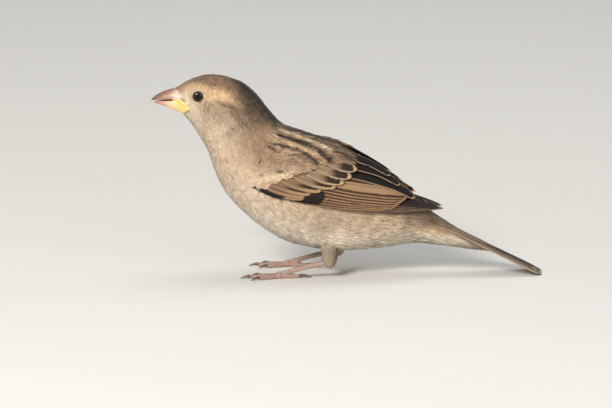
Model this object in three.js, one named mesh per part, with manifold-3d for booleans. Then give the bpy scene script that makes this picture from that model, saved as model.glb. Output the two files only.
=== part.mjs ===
// House sparrow (Passer domesticus) in brown female-type plumage, life size, crouched on level ground.
// Millimetres, +Z up. The bill points along -X and the bird's left side faces -Y.
// The origin is on the ground, under the middle of the bird.
import * as THREE from "three";
import { mergeVertices } from "three/addons/utils/BufferGeometryUtils.js";
import Module from "manifold-3d";

const wasm = await Module();
wasm.setup();

// Driving sizes
const gap = 0.3; // clearance left between neighbouring solids
const bodySides = 20; // points round a body section
const ringsPerStation = 2; // body rings between two stations
const vaneThickness = 0.9; // flight and tail feathers
const sides = { left: -1, right: 1 };
const far = 200; // reach of a cutting block, beyond anything here

// Body stations from the face to the tail coverts, over the coat.
// top and low are [x, z] on the back and on the breast line, wide is the half width,
// level shifts the widest place down (negative) or up, as a share of the half depth.
const stations = [
  { name: "billBase", top: [-64.8, 70.2], low: [-62.6, 62.0], wide: 3.7, level: 0 },
  { name: "lores", top: [-62.3, 72.2], low: [-60.6, 60.0], wide: 5.7, level: 0 },
  { name: "eyes", top: [-57.3, 74.8], low: [-58.0, 56.8], wide: 7.7, level: 0.05 },
  { name: "crown", top: [-51.5, 76.1], low: [-55.7, 53.0], wide: 9.2, level: 0 },
  { name: "cheeks", top: [-45.5, 75.4], low: [-53.5, 49.4], wide: 10.2, level: -0.1 },
  { name: "nape", top: [-38.8, 72.9], low: [-51.6, 45.2], wide: 10.8, level: -0.1 },
  { name: "neck", top: [-33.5, 68.2], low: [-50.0, 40.4], wide: 11.7, level: -0.1 },
  { name: "throat", top: [-29.0, 62.4], low: [-48.1, 35.8], wide: 13.4, level: -0.05 },
  { name: "shoulders", top: [-23.9, 57.2], low: [-45.1, 30.4], wide: 15.3, level: 0 },
  { name: "breast", top: [-16.5, 54.5], low: [-39.7, 24.5], wide: 16.8, level: 0 },
  { name: "back", top: [-8, 51.5], low: [-32.2, 18.1], wide: 17.4, level: 0 },
  { name: "keel", top: [0, 47.4], low: [-22.8, 12.6], wide: 17.5, level: -0.05 },
  { name: "belly", top: [8, 41.6], low: [-12, 10.0], wide: 16.4, level: -0.15 },
  { name: "flanks", top: [16, 35.4], low: [-0.5, 9.0], wide: 14.2, level: -0.15 },
  { name: "rump", top: [23.5, 30.2], low: [12.5, 9.9], wide: 11.4, level: -0.1 },
  { name: "vent", top: [31, 24.6], low: [25.5, 11.6], wide: 8.2, level: 0 },
  { name: "coverts", top: [38.8, 19.3], low: [37, 10.6], wide: 6.2, level: 0 },
  { name: "covertTips", top: [45.6, 15.2], low: [47, 9.2], wide: 4.6, level: 0 },
  { name: "covertEnd", top: [50.4, 12.3], low: [52.2, 8.6], wide: 2.9, level: 0 },
  { name: "covertTip", top: [53.4, 10.6], low: [54.8, 8.2], wide: 1.2, level: 0 },
];

// Seams that part the body into head, neck and trunk: each runs through a point on the back and one on the breast.
const seams = {
  head: { top: [-37.8, 71.5], low: [-52.6, 47.5] },
  trunk: { top: [-25.5, 57.8], low: [-46.2, 33.2] },
};

const eye = { radius: 3.0, x: -55.85, z: 68.85, reach: 8.35 }; // reach: half width over both corneas

// Bill sections from the tip back to the gape: ridge and edge heights, and half width
const bill = {
  upper: [
    { x: -73.5, ridge: 66.75, edge: 66.35, wide: 0.25 },
    { x: -71.6, ridge: 68.35, edge: 66.5, wide: 1.15 },
    { x: -68.8, ridge: 69.75, edge: 66.8, wide: 2.25 },
    { x: -64.6, ridge: 70.9, edge: 66.9, wide: 3.45 },
    { x: -60.2, ridge: 71.0, edge: 64.8, wide: 4.2 },
  ],
  lower: [
    { x: -72.3, ridge: 65.3, edge: 65.75, wide: 0.3 },
    { x: -70.6, ridge: 64.75, edge: 65.95, wide: 1.15 },
    { x: -68.2, ridge: 63.9, edge: 66.15, wide: 2.1 },
    { x: -64.6, ridge: 62.4, edge: 66.2, wide: 3.35 },
    { x: -60.2, ridge: 60.9, edge: 64.15, wide: 4.1 },
  ],
  archPoints: 8,
};

// The folded wing is a bowed sheet between its lower and upper edge: x, [half width, height] of each edge, and its bow
const wingSheet = [
  { x: -36, low: [13.8, 36.8], high: [13.0, 40.0], bow: 0.2 },
  { x: -31, low: [16.2, 33.0], high: [12.9, 46.4], bow: 1.3 },
  { x: -22, low: [18.1, 31.2], high: [12.2, 50.6], bow: 2.3 },
  { x: -10, low: [18.9, 30.0], high: [10.4, 50.4], bow: 2.7 },
  { x: 0, low: [18.4, 28.4], high: [7.6, 47.6], bow: 2.6 },
  { x: 10, low: [16.3, 27.2], high: [4.9, 41.6], bow: 2.2 },
  { x: 20, low: [12.6, 26.4], high: [3.4, 35.8], bow: 1.4 },
  { x: 30, low: [7.9, 25.2], high: [2.6, 29.4], bow: 0.6 },
  { x: 39, low: [3.6, 24.4], high: [2.6, 25.4], bow: 0.1 },
];
const wing = {
  rows: 8, // cells from the lower to the upper edge
  covertCells: 9, // cells from the bend to the tips of the coverts
  covertEnd: [0.42, 0.6], // where the coverts end along the sheet, at its lower and upper edge
  skinOut: 0.9, // the coverts' surface stands this far out of the sheet
  skinIn: 2.4, // and their back this far in
  bedCells: 11,
  bedDepth: 2.8, // the bed cut into the trunk for the folded wing
};
// Feather groups of the folded wing. Each goes from a root to a tip on the sheet: [along, up], both 0 to 1.
// layer is its distance out of the sheet, and step is how much each next feather tucks under the last.
const vanes = {
  tertials: {
    count: 3,
    root: [[0.4, 0.56], [0.46, 0.86]],
    tip: [[0.84, 0.45], [0.66, 0.88]],
    wide: [3.3, 2.9],
    layer: 0.2,
    step: 0.25,
    blunt: 2.6,
  },
  secondaries: {
    count: 4,
    root: [[0.36, 0.14], [0.42, 0.56]],
    tip: [[0.79, 0.12], [0.84, 0.52]],
    wide: [2.7, 2.9],
    layer: -0.3,
    step: -0.18,
    blunt: 2.4,
  },
  primaries: {
    count: 5,
    root: [[0.3, 0.16], [0.4, 0.3]],
    tip: [[0.975, 0.5], [0.8, 0.16]],
    wide: [1.7, 2.4],
    layer: -2.05,
    step: 0.2,
    blunt: 1.7,
  },
};

// Tail: six pairs of feathers, the middle pair on top
const tail = {
  pairs: 6,
  root: [24, 25.2],
  tip: [72.46, 1.7],
  notch: 1.1, // the outer feathers reach this much further
  fan: 0.62, // degrees between neighbours
  spread: 0.42, // sideways step at the root
  drop: 0.13, // step down from one feather to the next outer one
  arch: 0.05, // fall of a feather's surface towards the tail's edge
  wide: [2.2, 3.2], // half width at the root and near the tip
};

// Legs: the right one stands a step further back
const leg = {
  spacing: 12.3, // half the distance between the feet
  stride: { left: 0, right: 3 },
  knuckle: { x: -25.2, z: 1.25, radius: 1.5 },
  heel: { x: -4.4, z: 6.7 },
  shank: [0.95, 0.85, 0.95, 1.3], // tarsus radius from the knuckle to the heel
  thigh: [
    { x: -5.0, y: -5.0, z: 20.6, along: 5.6, across: 4.4 },
    { x: -6.0, y: -3.0, z: 14.2, along: 3.6, across: 3.4 },
    { x: -6.3, y: -1.2, z: 9.2, along: 3.0, across: 2.7 },
    { x: -6.3, y: -0.2, z: 6.3, along: 2.6, across: 2.3 },
    { x: -6.2, y: 0, z: 4.8, along: 1.6, across: 1.4 },
  ],
};
// Toes: heading in degrees from straight ahead (positive towards the body), length, radii, claw length
const toes = [
  { name: "hallux", heading: 172, length: 7.6, thick: [1.15, 0.85], claw: 4.9 },
  { name: "inner", heading: 22, length: 8.4, thick: [1.05, 0.75], claw: 3.4 },
  { name: "middle", heading: -3, length: 11.0, thick: [1.1, 0.8], claw: 3.8 },
  { name: "outer", heading: -27, length: 8.6, thick: [1.05, 0.75], claw: 3.4 },
];
const toeRise = 0.72; // height of a toe's middle, so that its sole is a flat strip
const pads = 3; // joint swellings along a toe

// Finishes
const finishes = {
  crown: { color: 0x9a7f62, roughness: 0.9 },
  plumage: { color: 0xa08a70, roughness: 0.9 },
  pale: { color: 0xcfc0a8, roughness: 0.9 },
  wing: { color: 0x7a5c40, roughness: 0.8 },
  bill: { color: 0xb98a6c, roughness: 0.45 },
  eye: { color: 0x1c120c, roughness: 0.08 },
  leg: { color: 0xb98877, roughness: 0.6 },
  claw: { color: 0x5a4438, roughness: 0.5 },
};

const bird = new THREE.Group();
bird.name = "house_sparrow";

function addPart(name, solid, finish) {
  const whole = solid.decompose().sort((a, b) => b.volume() - a.volume())[0];
  const made = whole.getMesh();
  const points = new Float32Array(made.numVert * 3);
  for (let i = 0; i < made.numVert; i++) {
    points.set(made.vertProperties.subarray(i * made.numProp, i * made.numProp + 3), i * 3);
  }
  const geometry = new THREE.BufferGeometry();
  geometry.setAttribute("position", new THREE.BufferAttribute(points, 3));
  geometry.setIndex(new THREE.BufferAttribute(made.triVerts, 1));
  geometry.computeVertexNormals();
  const mesh = new THREE.Mesh(geometry, new THREE.MeshStandardMaterial(finishes[finish]));
  mesh.name = name;
  bird.add(mesh);
}

// A closed three.js geometry as a solid that can be joined and cut
function solidOf(geometry) {
  const bare = geometry.clone();
  bare.deleteAttribute("normal");
  bare.deleteAttribute("uv");
  const merged = mergeVertices(bare, 1e-4);
  const made = new wasm.Manifold(
    new wasm.Mesh({
      numProp: 3,
      vertProperties: new Float32Array(merged.attributes.position.array),
      triVerts: new Uint32Array(merged.index.array),
    }),
  );
  if (made.volume() > 0) return made;
  const turned = merged.index.array.slice();
  for (let i = 0; i < turned.length; i += 3) {
    [turned[i + 1], turned[i + 2]] = [turned[i + 2], turned[i + 1]];
  }
  merged.setIndex(new THREE.BufferAttribute(turned, 1));
  return solidOf(merged);
}

// A closed skin over rings of equally many points, with a fan at each end
function loft(rings) {
  const count = rings[0].length;
  const points = rings.flat();
  const centre = (ring) => ring.reduce((sum, p) => sum.add(p), new THREE.Vector3()).divideScalar(count);
  points.push(centre(rings[0]), centre(rings[rings.length - 1]));
  const faces = [];
  for (let r = 0; r + 1 < rings.length; r++) {
    for (let i = 0; i < count; i++) {
      const a = r * count + i;
      const b = r * count + ((i + 1) % count);
      faces.push(a, b, a + count, b, b + count, a + count);
    }
  }
  const last = (rings.length - 1) * count;
  for (let i = 0; i < count; i++) {
    const next = (i + 1) % count;
    faces.push(rings.length * count, next, i);
    faces.push(rings.length * count + 1, last + i, last + next);
  }
  const geometry = new THREE.BufferGeometry().setFromPoints(points);
  geometry.setIndex(faces);
  return solidOf(geometry);
}

// A smooth run of values through one number of each row, at share t of the way
function along(rows, pick) {
  const curve = new THREE.CatmullRomCurve3(
    rows.map((row) => new THREE.Vector3(...pick(row))),
    false,
    "catmullrom",
    0.5,
  );
  return (t) => curve.getPoint(t);
}

// One body section, grown outwards by extra
const backLine = along(stations, (s) => [s.top[0], s.level, s.top[1]]);
const breastLine = along(stations, (s) => [s.low[0], s.wide, s.low[1]]);

function bodyRing(t, extra) {
  const top = backLine(t);
  const low = breastLine(t);
  const level = top.y;
  const wide = low.y + extra;
  const middle = new THREE.Vector3((top.x + low.x) / 2, 0, (top.z + low.z) / 2);
  const up = new THREE.Vector3(top.x - low.x, 0, top.z - low.z).multiplyScalar(0.5);
  up.multiplyScalar(1 + extra / up.length());
  return Array.from({ length: bodySides }, (_, i) => {
    const turn = (i / bodySides) * 2 * Math.PI;
    const lift = Math.cos(turn) + level * Math.sin(turn) ** 2;
    return middle.clone().addScaledVector(up, lift).setY(wide * Math.sin(turn));
  });
}

function bodySolid(extra) {
  const rings = (stations.length - 1) * ringsPerStation;
  return loft(Array.from({ length: rings + 1 }, (_, i) => bodyRing(i / rings, extra)));
}

// A block whose face lies on a seam: everything on the bill side of it, moved by shift towards the tail
function billSideOf(seam, shift) {
  const lean = Math.atan2(seam.top[0] - seam.low[0], seam.top[1] - seam.low[1]);
  const block = new THREE.BoxGeometry(far, far, far);
  block.translate(-far / 2 + shift, 0, 0);
  block.rotateY(lean);
  block.translate((seam.top[0] + seam.low[0]) / 2, 0, (seam.top[1] + seam.low[1]) / 2);
  return solidOf(block);
}

function ball(radius, place, cells) {
  return solidOf(new THREE.SphereGeometry(radius, cells, Math.round(cells * 0.7)).translate(...place));
}

// Half of the bill: arched sections that are flat along the bite
function billHalf(rows, extra) {
  const heights = along(rows, (s) => [s.x, s.ridge, s.edge]);
  const widths = along(rows, (s) => [s.x, s.wide, 0]);
  const rings = (rows.length - 1) * 2;
  return loft(
    Array.from({ length: rings + 1 }, (_, r) => {
      const t = r / rings;
      const { x, y: ridge, z: edge } = heights(t);
      const wide = widths(t).y + extra;
      const rise = ridge - edge + Math.sign(ridge - edge) * extra;
      const ring = [];
      for (let i = 0; i <= bill.archPoints; i++) {
        const turn = (i / bill.archPoints) * Math.PI;
        ring.push(new THREE.Vector3(x, wide * Math.cos(turn), edge + rise * Math.sin(turn) ** 0.85));
      }
      ring.push(new THREE.Vector3(x, 0, edge - Math.sign(rise) * extra));
      return ring;
    }),
  );
}

// A place on the wing sheet, out of it by lift
const sheetLow = along(wingSheet, (s) => [s.x, ...s.low]);
const sheetHigh = along(wingSheet, (s) => [s.x, ...s.high]);
const sheetBow = along(wingSheet, (s) => [s.x, s.bow, 0]);

function onSheet(side, t, up, lift) {
  const low = sheetLow(t);
  const high = sheetHigh(t);
  const outward = new THREE.Vector3(0, high.z - low.z, low.y - high.y).normalize();
  const bow = sheetBow(t).y * Math.sin(Math.PI * THREE.MathUtils.clamp(up, 0, 1));
  const place = low.clone().lerp(high, up).addScaledVector(outward, bow + lift);
  place.y *= side;
  return place;
}

// The coverts: a thick skin on the front of the sheet, thinning to its edges
function coverts(side, extra) {
  const rings = [];
  for (let i = 0; i <= wing.covertCells; i++) {
    const share = i / wing.covertCells;
    const end = (up) => (wing.covertEnd[0] + (wing.covertEnd[1] - wing.covertEnd[0]) * up) * share;
    const swell = 0.4 + 0.6 * Math.sin(Math.PI * Math.min(1, 0.2 + share * 0.75)) ** 0.5;
    const at = (j, lift) => onSheet(side, end(j / wing.rows), j / wing.rows, lift);
    const ring = [];
    for (let j = 0; j <= wing.rows; j++) {
      const round = 0.4 + 0.6 * Math.sin((Math.PI * j) / wing.rows) ** 0.6;
      ring.push(at(j, wing.skinOut * round * swell + extra));
    }
    for (let j = wing.rows; j >= 0; j--) ring.push(at(j, -wing.skinIn * (0.4 + 0.6 * swell) - extra));
    rings.push(ring);
  }
  return loft(rings);
}

// The room for a whole folded wing, to be taken out of the trunk
function wingBed(side) {
  const rings = [];
  for (let i = -1; i <= wing.bedCells + 1; i++) {
    const share = THREE.MathUtils.clamp(i / wing.bedCells, 0, 1);
    const margin = (2 * gap) / onSheet(side, share, 0, 0).distanceTo(onSheet(side, share, 1, 0));
    const beyond = i < 0 ? -gap : i > wing.bedCells ? gap : 0;
    const at = (j, lift) => {
      const up = -margin + (1 + 2 * margin) * (j / wing.rows);
      return onSheet(side, share, up, lift).add(new THREE.Vector3(beyond, 0, 0));
    };
    const ring = [];
    for (let j = 0; j <= wing.rows; j += 2) ring.push(at(j, wing.bedDepth * 3));
    for (let j = wing.rows; j >= 0; j -= 2) ring.push(at(j, -wing.bedDepth));
    rings.push(ring);
  }
  return loft(rings);
}

// One feather of the folded wing: a thin lens in section, narrowing to the tip
const vaneRings = 4;
function vane(side, root, tip, shape, extra) {
  const rings = [];
  for (let i = 0; i <= vaneRings; i++) {
    const share = i / vaneRings;
    const t = root[0] + (tip[0] - root[0]) * share;
    const up = root[1] + (tip[1] - root[1]) * share;
    const middle = onSheet(side, t, up, shape.lift);
    const edge = onSheet(side, t, up + 0.05, shape.lift).sub(middle).normalize();
    const out = onSheet(side, t, up, shape.lift + 1).sub(middle);
    const taper = Math.max(0, (share - 0.6) / 0.4) ** shape.blunt;
    const round = Math.sqrt(Math.max(0.03, 1 - taper));
    const half = shape.wide * round * (0.75 + 0.25 * share) + extra * 1.5;
    const flat = (vaneThickness / 2) * (0.6 + 0.4 * round) + extra;
    const at = (a, b) => middle.clone().addScaledVector(edge, a * half).addScaledVector(out, b * flat);
    rings.push([at(-1, 0), at(0, 1), at(1, 0), at(0, -1)]);
  }
  return loft(rings);
}

function vaneGroup(side, group, extra) {
  const mix = (pair, share) => [
    pair[0][0] + (pair[1][0] - pair[0][0]) * share,
    pair[0][1] + (pair[1][1] - pair[0][1]) * share,
  ];
  const feathers = Array.from({ length: group.count }, (_, i) => {
    const share = i / (group.count - 1);
    const wide = group.wide[0] + (group.wide[1] - group.wide[0]) * share;
    const shape = { wide, lift: group.layer + group.step * i, blunt: group.blunt };
    return vane(side, mix(group.root, share), mix(group.tip, share), shape, extra);
  });
  return feathers.reduce((joined, one) => joined.add(one));
}

// One tail feather: straight, with a rounded tip
const rectrixRings = 4;
function rectrix(side, pair) {
  const turn = THREE.MathUtils.degToRad(tail.fan * (pair + 0.5)) * side;
  const reach = Math.hypot(tail.tip[0] - tail.root[0], tail.tip[1] - tail.root[1]);
  const slope = Math.atan2(tail.tip[1] - tail.root[1], tail.tip[0] - tail.root[0]);
  const length = reach + (tail.notch * pair) / (tail.pairs - 1);
  const rings = [];
  for (let i = 0; i <= rectrixRings; i++) {
    const share = i / rectrixRings;
    const round = Math.sqrt(Math.max(0.04, 1 - Math.max(0, (share - 0.84) / 0.16) ** 2.4));
    const half = (tail.wide[0] + (tail.wide[1] - tail.wide[0]) * Math.min(1, share * 1.4)) * round;
    const run = length * share;
    const sideways = side * tail.spread * (pair + 0.5) + Math.sin(turn) * run;
    const x = tail.root[0] + Math.cos(turn) * run * Math.cos(slope);
    const z = tail.root[1] + Math.cos(turn) * run * Math.sin(slope) - tail.drop * pair;
    const droop = (b) => -tail.arch * Math.abs(sideways + b * half);
    const flat = (vaneThickness / 2) * (0.6 + 0.4 * round);
    const at = (b, c) =>
      new THREE.Vector3(x - c * Math.sin(slope), sideways + b * half, z + droop(b) + c * Math.cos(slope));
    rings.push([at(-1, 0), at(0, flat), at(1, 0), at(0, -flat)]);
  }
  return loft(rings);
}

// A round tube through points, with its radius from a function of the share
function tube(points, radius, rings, count) {
  const path = new THREE.CatmullRomCurve3(points);
  const level = new THREE.Vector3(0, 0, 1);
  return loft(
    Array.from({ length: rings + 1 }, (_, r) => {
      const t = r / rings;
      const ahead = path.getTangentAt(t);
      const across = new THREE.Vector3().crossVectors(ahead, level).normalize();
      const up = new THREE.Vector3().crossVectors(across, ahead).normalize();
      const middle = path.getPointAt(t);
      return Array.from({ length: count }, (_unused, i) => {
        const turn = (i / count) * 2 * Math.PI;
        return middle
          .clone()
          .addScaledVector(across, Math.cos(turn) * radius(t))
          .addScaledVector(up, Math.sin(turn) * radius(t));
      });
    }),
  );
}

// A stepped blend through equally spaced values
function blend(values) {
  return (t) => {
    const at = Math.min(values.length - 2, Math.floor(t * (values.length - 1)));
    const share = t * (values.length - 1) - at;
    return values[at] + (values[at + 1] - values[at]) * share;
  };
}

const aboveGround = solidOf(new THREE.BoxGeometry(far, far, far).translate(0, 0, far / 2));

// Where a toe starts, its heading on the ground and its end
function toeLine(side, shift, toe) {
  const heading = THREE.MathUtils.degToRad(toe.heading);
  const ahead = new THREE.Vector3(-Math.cos(heading), -side * Math.sin(heading), 0);
  const start = new THREE.Vector3(leg.knuckle.x + shift, side * leg.spacing, leg.knuckle.z);
  const end = start.clone().addScaledVector(ahead, toe.length).setZ(toeRise);
  return { ahead, start, end };
}

function toeSolid(side, shift, toe) {
  const { ahead, start, end } = toeLine(side, shift, toe);
  const early = start.clone().addScaledVector(ahead, toe.length * 0.3).setZ(toeRise + 0.1);
  const late = start.clone().addScaledVector(ahead, toe.length * 0.65).setZ(toeRise);
  const thick = blend(toe.thick);
  const radius = (t) => thick(t) * (1 + 0.09 * Math.cos(2 * Math.PI * pads * t)) * (t === 1 ? 0.75 : 1);
  return tube([start, early, late, end], radius, 5, 6).intersect(aboveGround);
}

function clawSolid(side, shift, toe) {
  const { ahead, end } = toeLine(side, shift, toe);
  const root = end.clone().addScaledVector(ahead, gap);
  const at = (share, height) => root.clone().addScaledVector(ahead, toe.claw * share).setZ(height);
  const path = [root.clone().setZ(toeRise + 0.05), at(0.38, toeRise + 0.3), at(0.74, toeRise), at(1, 0.32)];
  return tube(path, blend([0.62, 0.52, 0.4, 0.25]), 5, 6).intersect(aboveGround);
}

function thighSolid(side, shift) {
  const middle = along(leg.thigh, (s) => [s.x, s.y, s.z]);
  const size = along(leg.thigh, (s) => [s.along, s.across, 0]);
  const rings = 5;
  const points = 9;
  return loft(
    Array.from({ length: rings + 1 }, (_, r) => {
      const place = middle(r / rings);
      const spread = size(r / rings);
      return Array.from({ length: points }, (_unused, i) => {
        const turn = (i / points) * 2 * Math.PI;
        return new THREE.Vector3(
          place.x + shift + spread.x * Math.cos(turn),
          side * (leg.spacing + place.y) + spread.y * Math.sin(turn),
          place.z,
        );
      });
    }),
  );
}

function shankSolid(side, shift, extra) {
  const knuckle = new THREE.Vector3(leg.knuckle.x + shift, side * leg.spacing, leg.knuckle.z + 0.3);
  const heel = new THREE.Vector3(leg.heel.x + shift, side * leg.spacing, leg.heel.z);
  const middle = knuckle.clone().lerp(heel, 0.5).add(new THREE.Vector3(0, 0, 0.3));
  const radius = blend(leg.shank);
  return tube([knuckle, middle, heel], (t) => radius(t) + extra, 6, 8);
}

// Body, parted into head, neck and trunk
const body = bodySolid(0);
const grownBody = bodySolid(gap);
const beyond = (seam, shift) => body.subtract(billSideOf(seam, shift));
const billUpper = billHalf(bill.upper, 0);
const billLower = billHalf(bill.lower, 0);
const billRoom = billHalf(bill.upper, gap).add(billHalf(bill.lower, gap));

let head = body.intersect(billSideOf(seams.head, -gap / 2)).subtract(billRoom);
for (const [name, side] of Object.entries(sides)) {
  const place = [eye.x, side * (eye.reach - eye.radius), eye.z];
  head = head.subtract(ball(eye.radius + gap, place, 12));
  addPart(`eye_${name}`, ball(eye.radius, place, 15), "eye");
}
addPart("head", head, "crown");
addPart("bill_upper", billUpper, "bill");
addPart("bill_lower", billLower, "bill");
const neck = beyond(seams.head, gap / 2).intersect(billSideOf(seams.trunk, -gap / 2));
addPart("neck", neck, "plumage");
const beds = wingBed(sides.left).add(wingBed(sides.right));
const trunk = beyond(seams.trunk, gap / 2).subtract(beds);
addPart("trunk", trunk, "pale");

// Wings
for (const [name, side] of Object.entries(sides)) {
  const bedded = grownBody.subtract(wingBed(side));
  let taken = bedded.add(coverts(side, gap));
  addPart(`wing_${name}_coverts`, coverts(side, 0).subtract(bedded), "wing");
  for (const [group, sizes] of Object.entries(vanes)) {
    addPart(`wing_${name}_${group}`, vaneGroup(side, sizes, 0).subtract(taken), "wing");
    taken = taken.add(vaneGroup(side, sizes, gap));
  }
}

// Tail
let rectrices = rectrix(sides.left, 0);
for (const side of Object.values(sides)) {
  for (let pair = 0; pair < tail.pairs; pair++) rectrices = rectrices.add(rectrix(side, pair));
}
addPart("tail", rectrices.subtract(grownBody), "wing");

// Legs
for (const [name, side] of Object.entries(sides)) {
  const shift = leg.stride[name];
  const knuckle = [leg.knuckle.x + shift, side * leg.spacing, leg.knuckle.z];
  const thigh = thighSolid(side, shift).subtract(grownBody).subtract(shankSolid(side, shift, gap));
  addPart(`thigh_${name}`, thigh, "pale");
  const shank = shankSolid(side, shift, 0).subtract(ball(leg.knuckle.radius + gap, knuckle, 8));
  addPart(`tarsus_${name}`, shank, "leg");
  const knuckleBall = ball(leg.knuckle.radius, knuckle, 8).intersect(aboveGround);
  const shankRoom = shankSolid(side, shift, gap).subtract(ball(leg.knuckle.radius, knuckle, 8));
  const joinedToes = toes.reduce((joined, toe) => joined.add(toeSolid(side, shift, toe)), knuckleBall);
  addPart(`foot_${name}`, joinedToes.subtract(shankRoom), "leg");
  for (const toe of toes) {
    addPart(`claw_${name}_${toe.name}`, clawSolid(side, shift, toe), "claw");
  }
}

export default bird;
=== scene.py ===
import math
import bpy
import numpy as np
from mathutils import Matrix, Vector


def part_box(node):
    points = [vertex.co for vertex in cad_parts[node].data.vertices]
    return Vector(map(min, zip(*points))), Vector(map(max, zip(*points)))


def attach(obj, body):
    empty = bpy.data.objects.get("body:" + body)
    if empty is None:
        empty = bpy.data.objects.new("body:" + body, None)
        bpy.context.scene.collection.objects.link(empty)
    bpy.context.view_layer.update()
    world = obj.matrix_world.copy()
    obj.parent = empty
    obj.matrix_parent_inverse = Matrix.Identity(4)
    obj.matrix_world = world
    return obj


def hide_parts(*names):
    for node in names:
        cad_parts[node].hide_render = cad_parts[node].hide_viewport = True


# House sparrow in brown female-type plumage. Shapes are worked out in millimetres and stored in metres.
# The bill points along -X, the bird's left side faces -Y, and the ground is at z = 0.
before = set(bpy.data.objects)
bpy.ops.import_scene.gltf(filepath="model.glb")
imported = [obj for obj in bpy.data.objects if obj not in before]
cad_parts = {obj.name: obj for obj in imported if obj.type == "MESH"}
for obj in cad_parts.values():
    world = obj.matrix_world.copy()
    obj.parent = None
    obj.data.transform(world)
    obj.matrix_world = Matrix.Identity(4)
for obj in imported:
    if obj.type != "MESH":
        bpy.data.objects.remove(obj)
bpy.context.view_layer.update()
mm = 0.001
sides = {"left": -1, "right": 1}


# Numbers and curves

def smooth(low, high, value):
    share = np.clip((value - low) / (high - low), 0, 1)
    return share * share * (3 - 2 * share)


def curveOf(rows):  # a smooth run through rows of values, read at a share from 0 to 1
    rows = np.asarray(rows, float)
    knots = np.vstack([2 * rows[0] - rows[1], rows, 2 * rows[-1] - rows[-2]])

    def at(share):
        place = np.clip(share, 0, 1) * (len(rows) - 1)
        low = np.minimum(place.astype(int), len(rows) - 2)
        u = (place - low)[..., None]
        a, b, c, d = (knots[low + i] for i in range(4))
        return b + 0.5 * u * (c - a + u * (2 * a - 5 * b + 4 * c - d + u * (3 * (b - c) + d - a)))
    return at


def unit(vectors):
    return vectors / np.maximum(np.linalg.norm(vectors, axis=-1, keepdims=True), 1e-9)


def tone(red, green, blue):  # a screen colour as linear light
    share = np.array([red, green, blue]) / 255
    return np.where(share > 0.04045, ((share + 0.055) / 1.055) ** 2.4, share / 12.92)


# Meshes

def colourPoints(mesh, key, tones, alpha=1):
    layer = mesh.color_attributes.new(key, "FLOAT_COLOR", "POINT")
    alphas = alpha * np.ones((len(tones), 1))
    layer.data.foreach_set("color", np.hstack([tones, alphas]).astype(np.float32).ravel())


def meshPiece(name, points, faces, material, tones=None, maps=None, marks=None, flat=False):
    # points in millimetres and faces as arrays of triangles or quads
    # tones, maps and marks have a row for each point
    mesh = bpy.data.meshes.new(name)
    mesh.vertices.add(len(points))
    mesh.vertices.foreach_set("co", (np.asarray(points) * mm).astype(np.float32).ravel())
    corners = np.concatenate([group.ravel() for group in faces])
    sizes = np.concatenate([np.full(len(group), group.shape[1]) for group in faces])
    mesh.loops.add(len(corners))
    mesh.loops.foreach_set("vertex_index", corners.astype(np.int32))
    mesh.polygons.add(len(sizes))
    starts = np.cumsum(sizes) - sizes
    mesh.polygons.foreach_set("loop_start", starts.astype(np.int32))
    mesh.polygons.foreach_set("use_smooth", np.full(len(sizes), not flat))
    mesh.update(calc_edges=True)
    for key, values in (marks or {}).items():
        colourPoints(mesh, key, values[:, :3], values[:, 3:])
    if tones is not None:
        colourPoints(mesh, "tone", tones)
    for key, places in (maps or {}).items():
        layer = mesh.uv_layers.new(name=key)
        layer.uv.foreach_set("vector", places[corners].astype(np.float32).ravel())
    piece = bpy.data.objects.new(name, mesh)
    bpy.context.scene.collection.objects.link(piece)
    mesh.materials.append(material)
    return piece


def settle(piece, slot, *nodes):  # the piece rides on the bird and stands for its nodes
    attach(piece, "root")
    if nodes:
        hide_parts(*nodes)
    return piece


def selectOnly(*pieces):
    bpy.ops.object.select_all(action="DESELECT")
    for piece in pieces:
        piece.select_set(True)
    bpy.context.view_layer.objects.active = pieces[0]


def applyModifier(piece, kind, settings):
    modifier = piece.modifiers.new(kind.title(), kind)
    for key, value in settings.items():
        setattr(modifier, key, value)
    selectOnly(piece)
    bpy.ops.object.modifier_apply(modifier=modifier.name)


def copyOfNodes(name, *nodes):  # merged copies of CAD nodes, joined in one piece
    copies = []
    for node in nodes:
        copy = bpy.data.objects.new(name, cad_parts[node].data.copy())
        bpy.context.scene.collection.objects.link(copy)
        copies.append(copy)
    selectOnly(*copies)
    if len(copies) > 1:
        bpy.ops.object.join()
    piece = bpy.context.view_layer.objects.active
    piece.name = name
    bpy.ops.object.mode_set(mode="EDIT")
    bpy.ops.mesh.select_all(action="SELECT")
    bpy.ops.mesh.remove_doubles(threshold=0.01 * mm)
    bpy.ops.object.mode_set(mode="OBJECT")
    piece.data.materials.clear()
    return piece


def pointsOf(piece):
    values = np.zeros(len(piece.data.vertices) * 3, np.float32)
    piece.data.vertices.foreach_get("co", values)
    return values.reshape(-1, 3) / mm


def normalsOf(piece):
    values = np.zeros(len(piece.data.vertices) * 3, np.float32)
    piece.data.vertex_normals.foreach_get("vector", values)
    return values.reshape(-1, 3)


def movePoints(piece, points):
    piece.data.vertices.foreach_set("co", (points * mm).astype(np.float32).ravel())
    piece.data.update()


def voxelSkin(piece, voxel, smoothing):  # one even skin over parts that run into one another
    applyModifier(piece, "REMESH", {"mode": "VOXEL", "voxel_size": voxel * mm, "use_smooth_shade": True})
    applyModifier(piece, "SMOOTH", {"factor": 0.5, "iterations": smoothing})


def ringFaces(rings, count):  # quads between rings of points
    r, i = np.meshgrid(np.arange(rings - 1), np.arange(count), indexing="ij")
    a = (r * count + i).ravel()
    b = (r * count + (i + 1) % count).ravel()
    return np.stack([a, b, b + count, a + count], axis=1)


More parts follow.
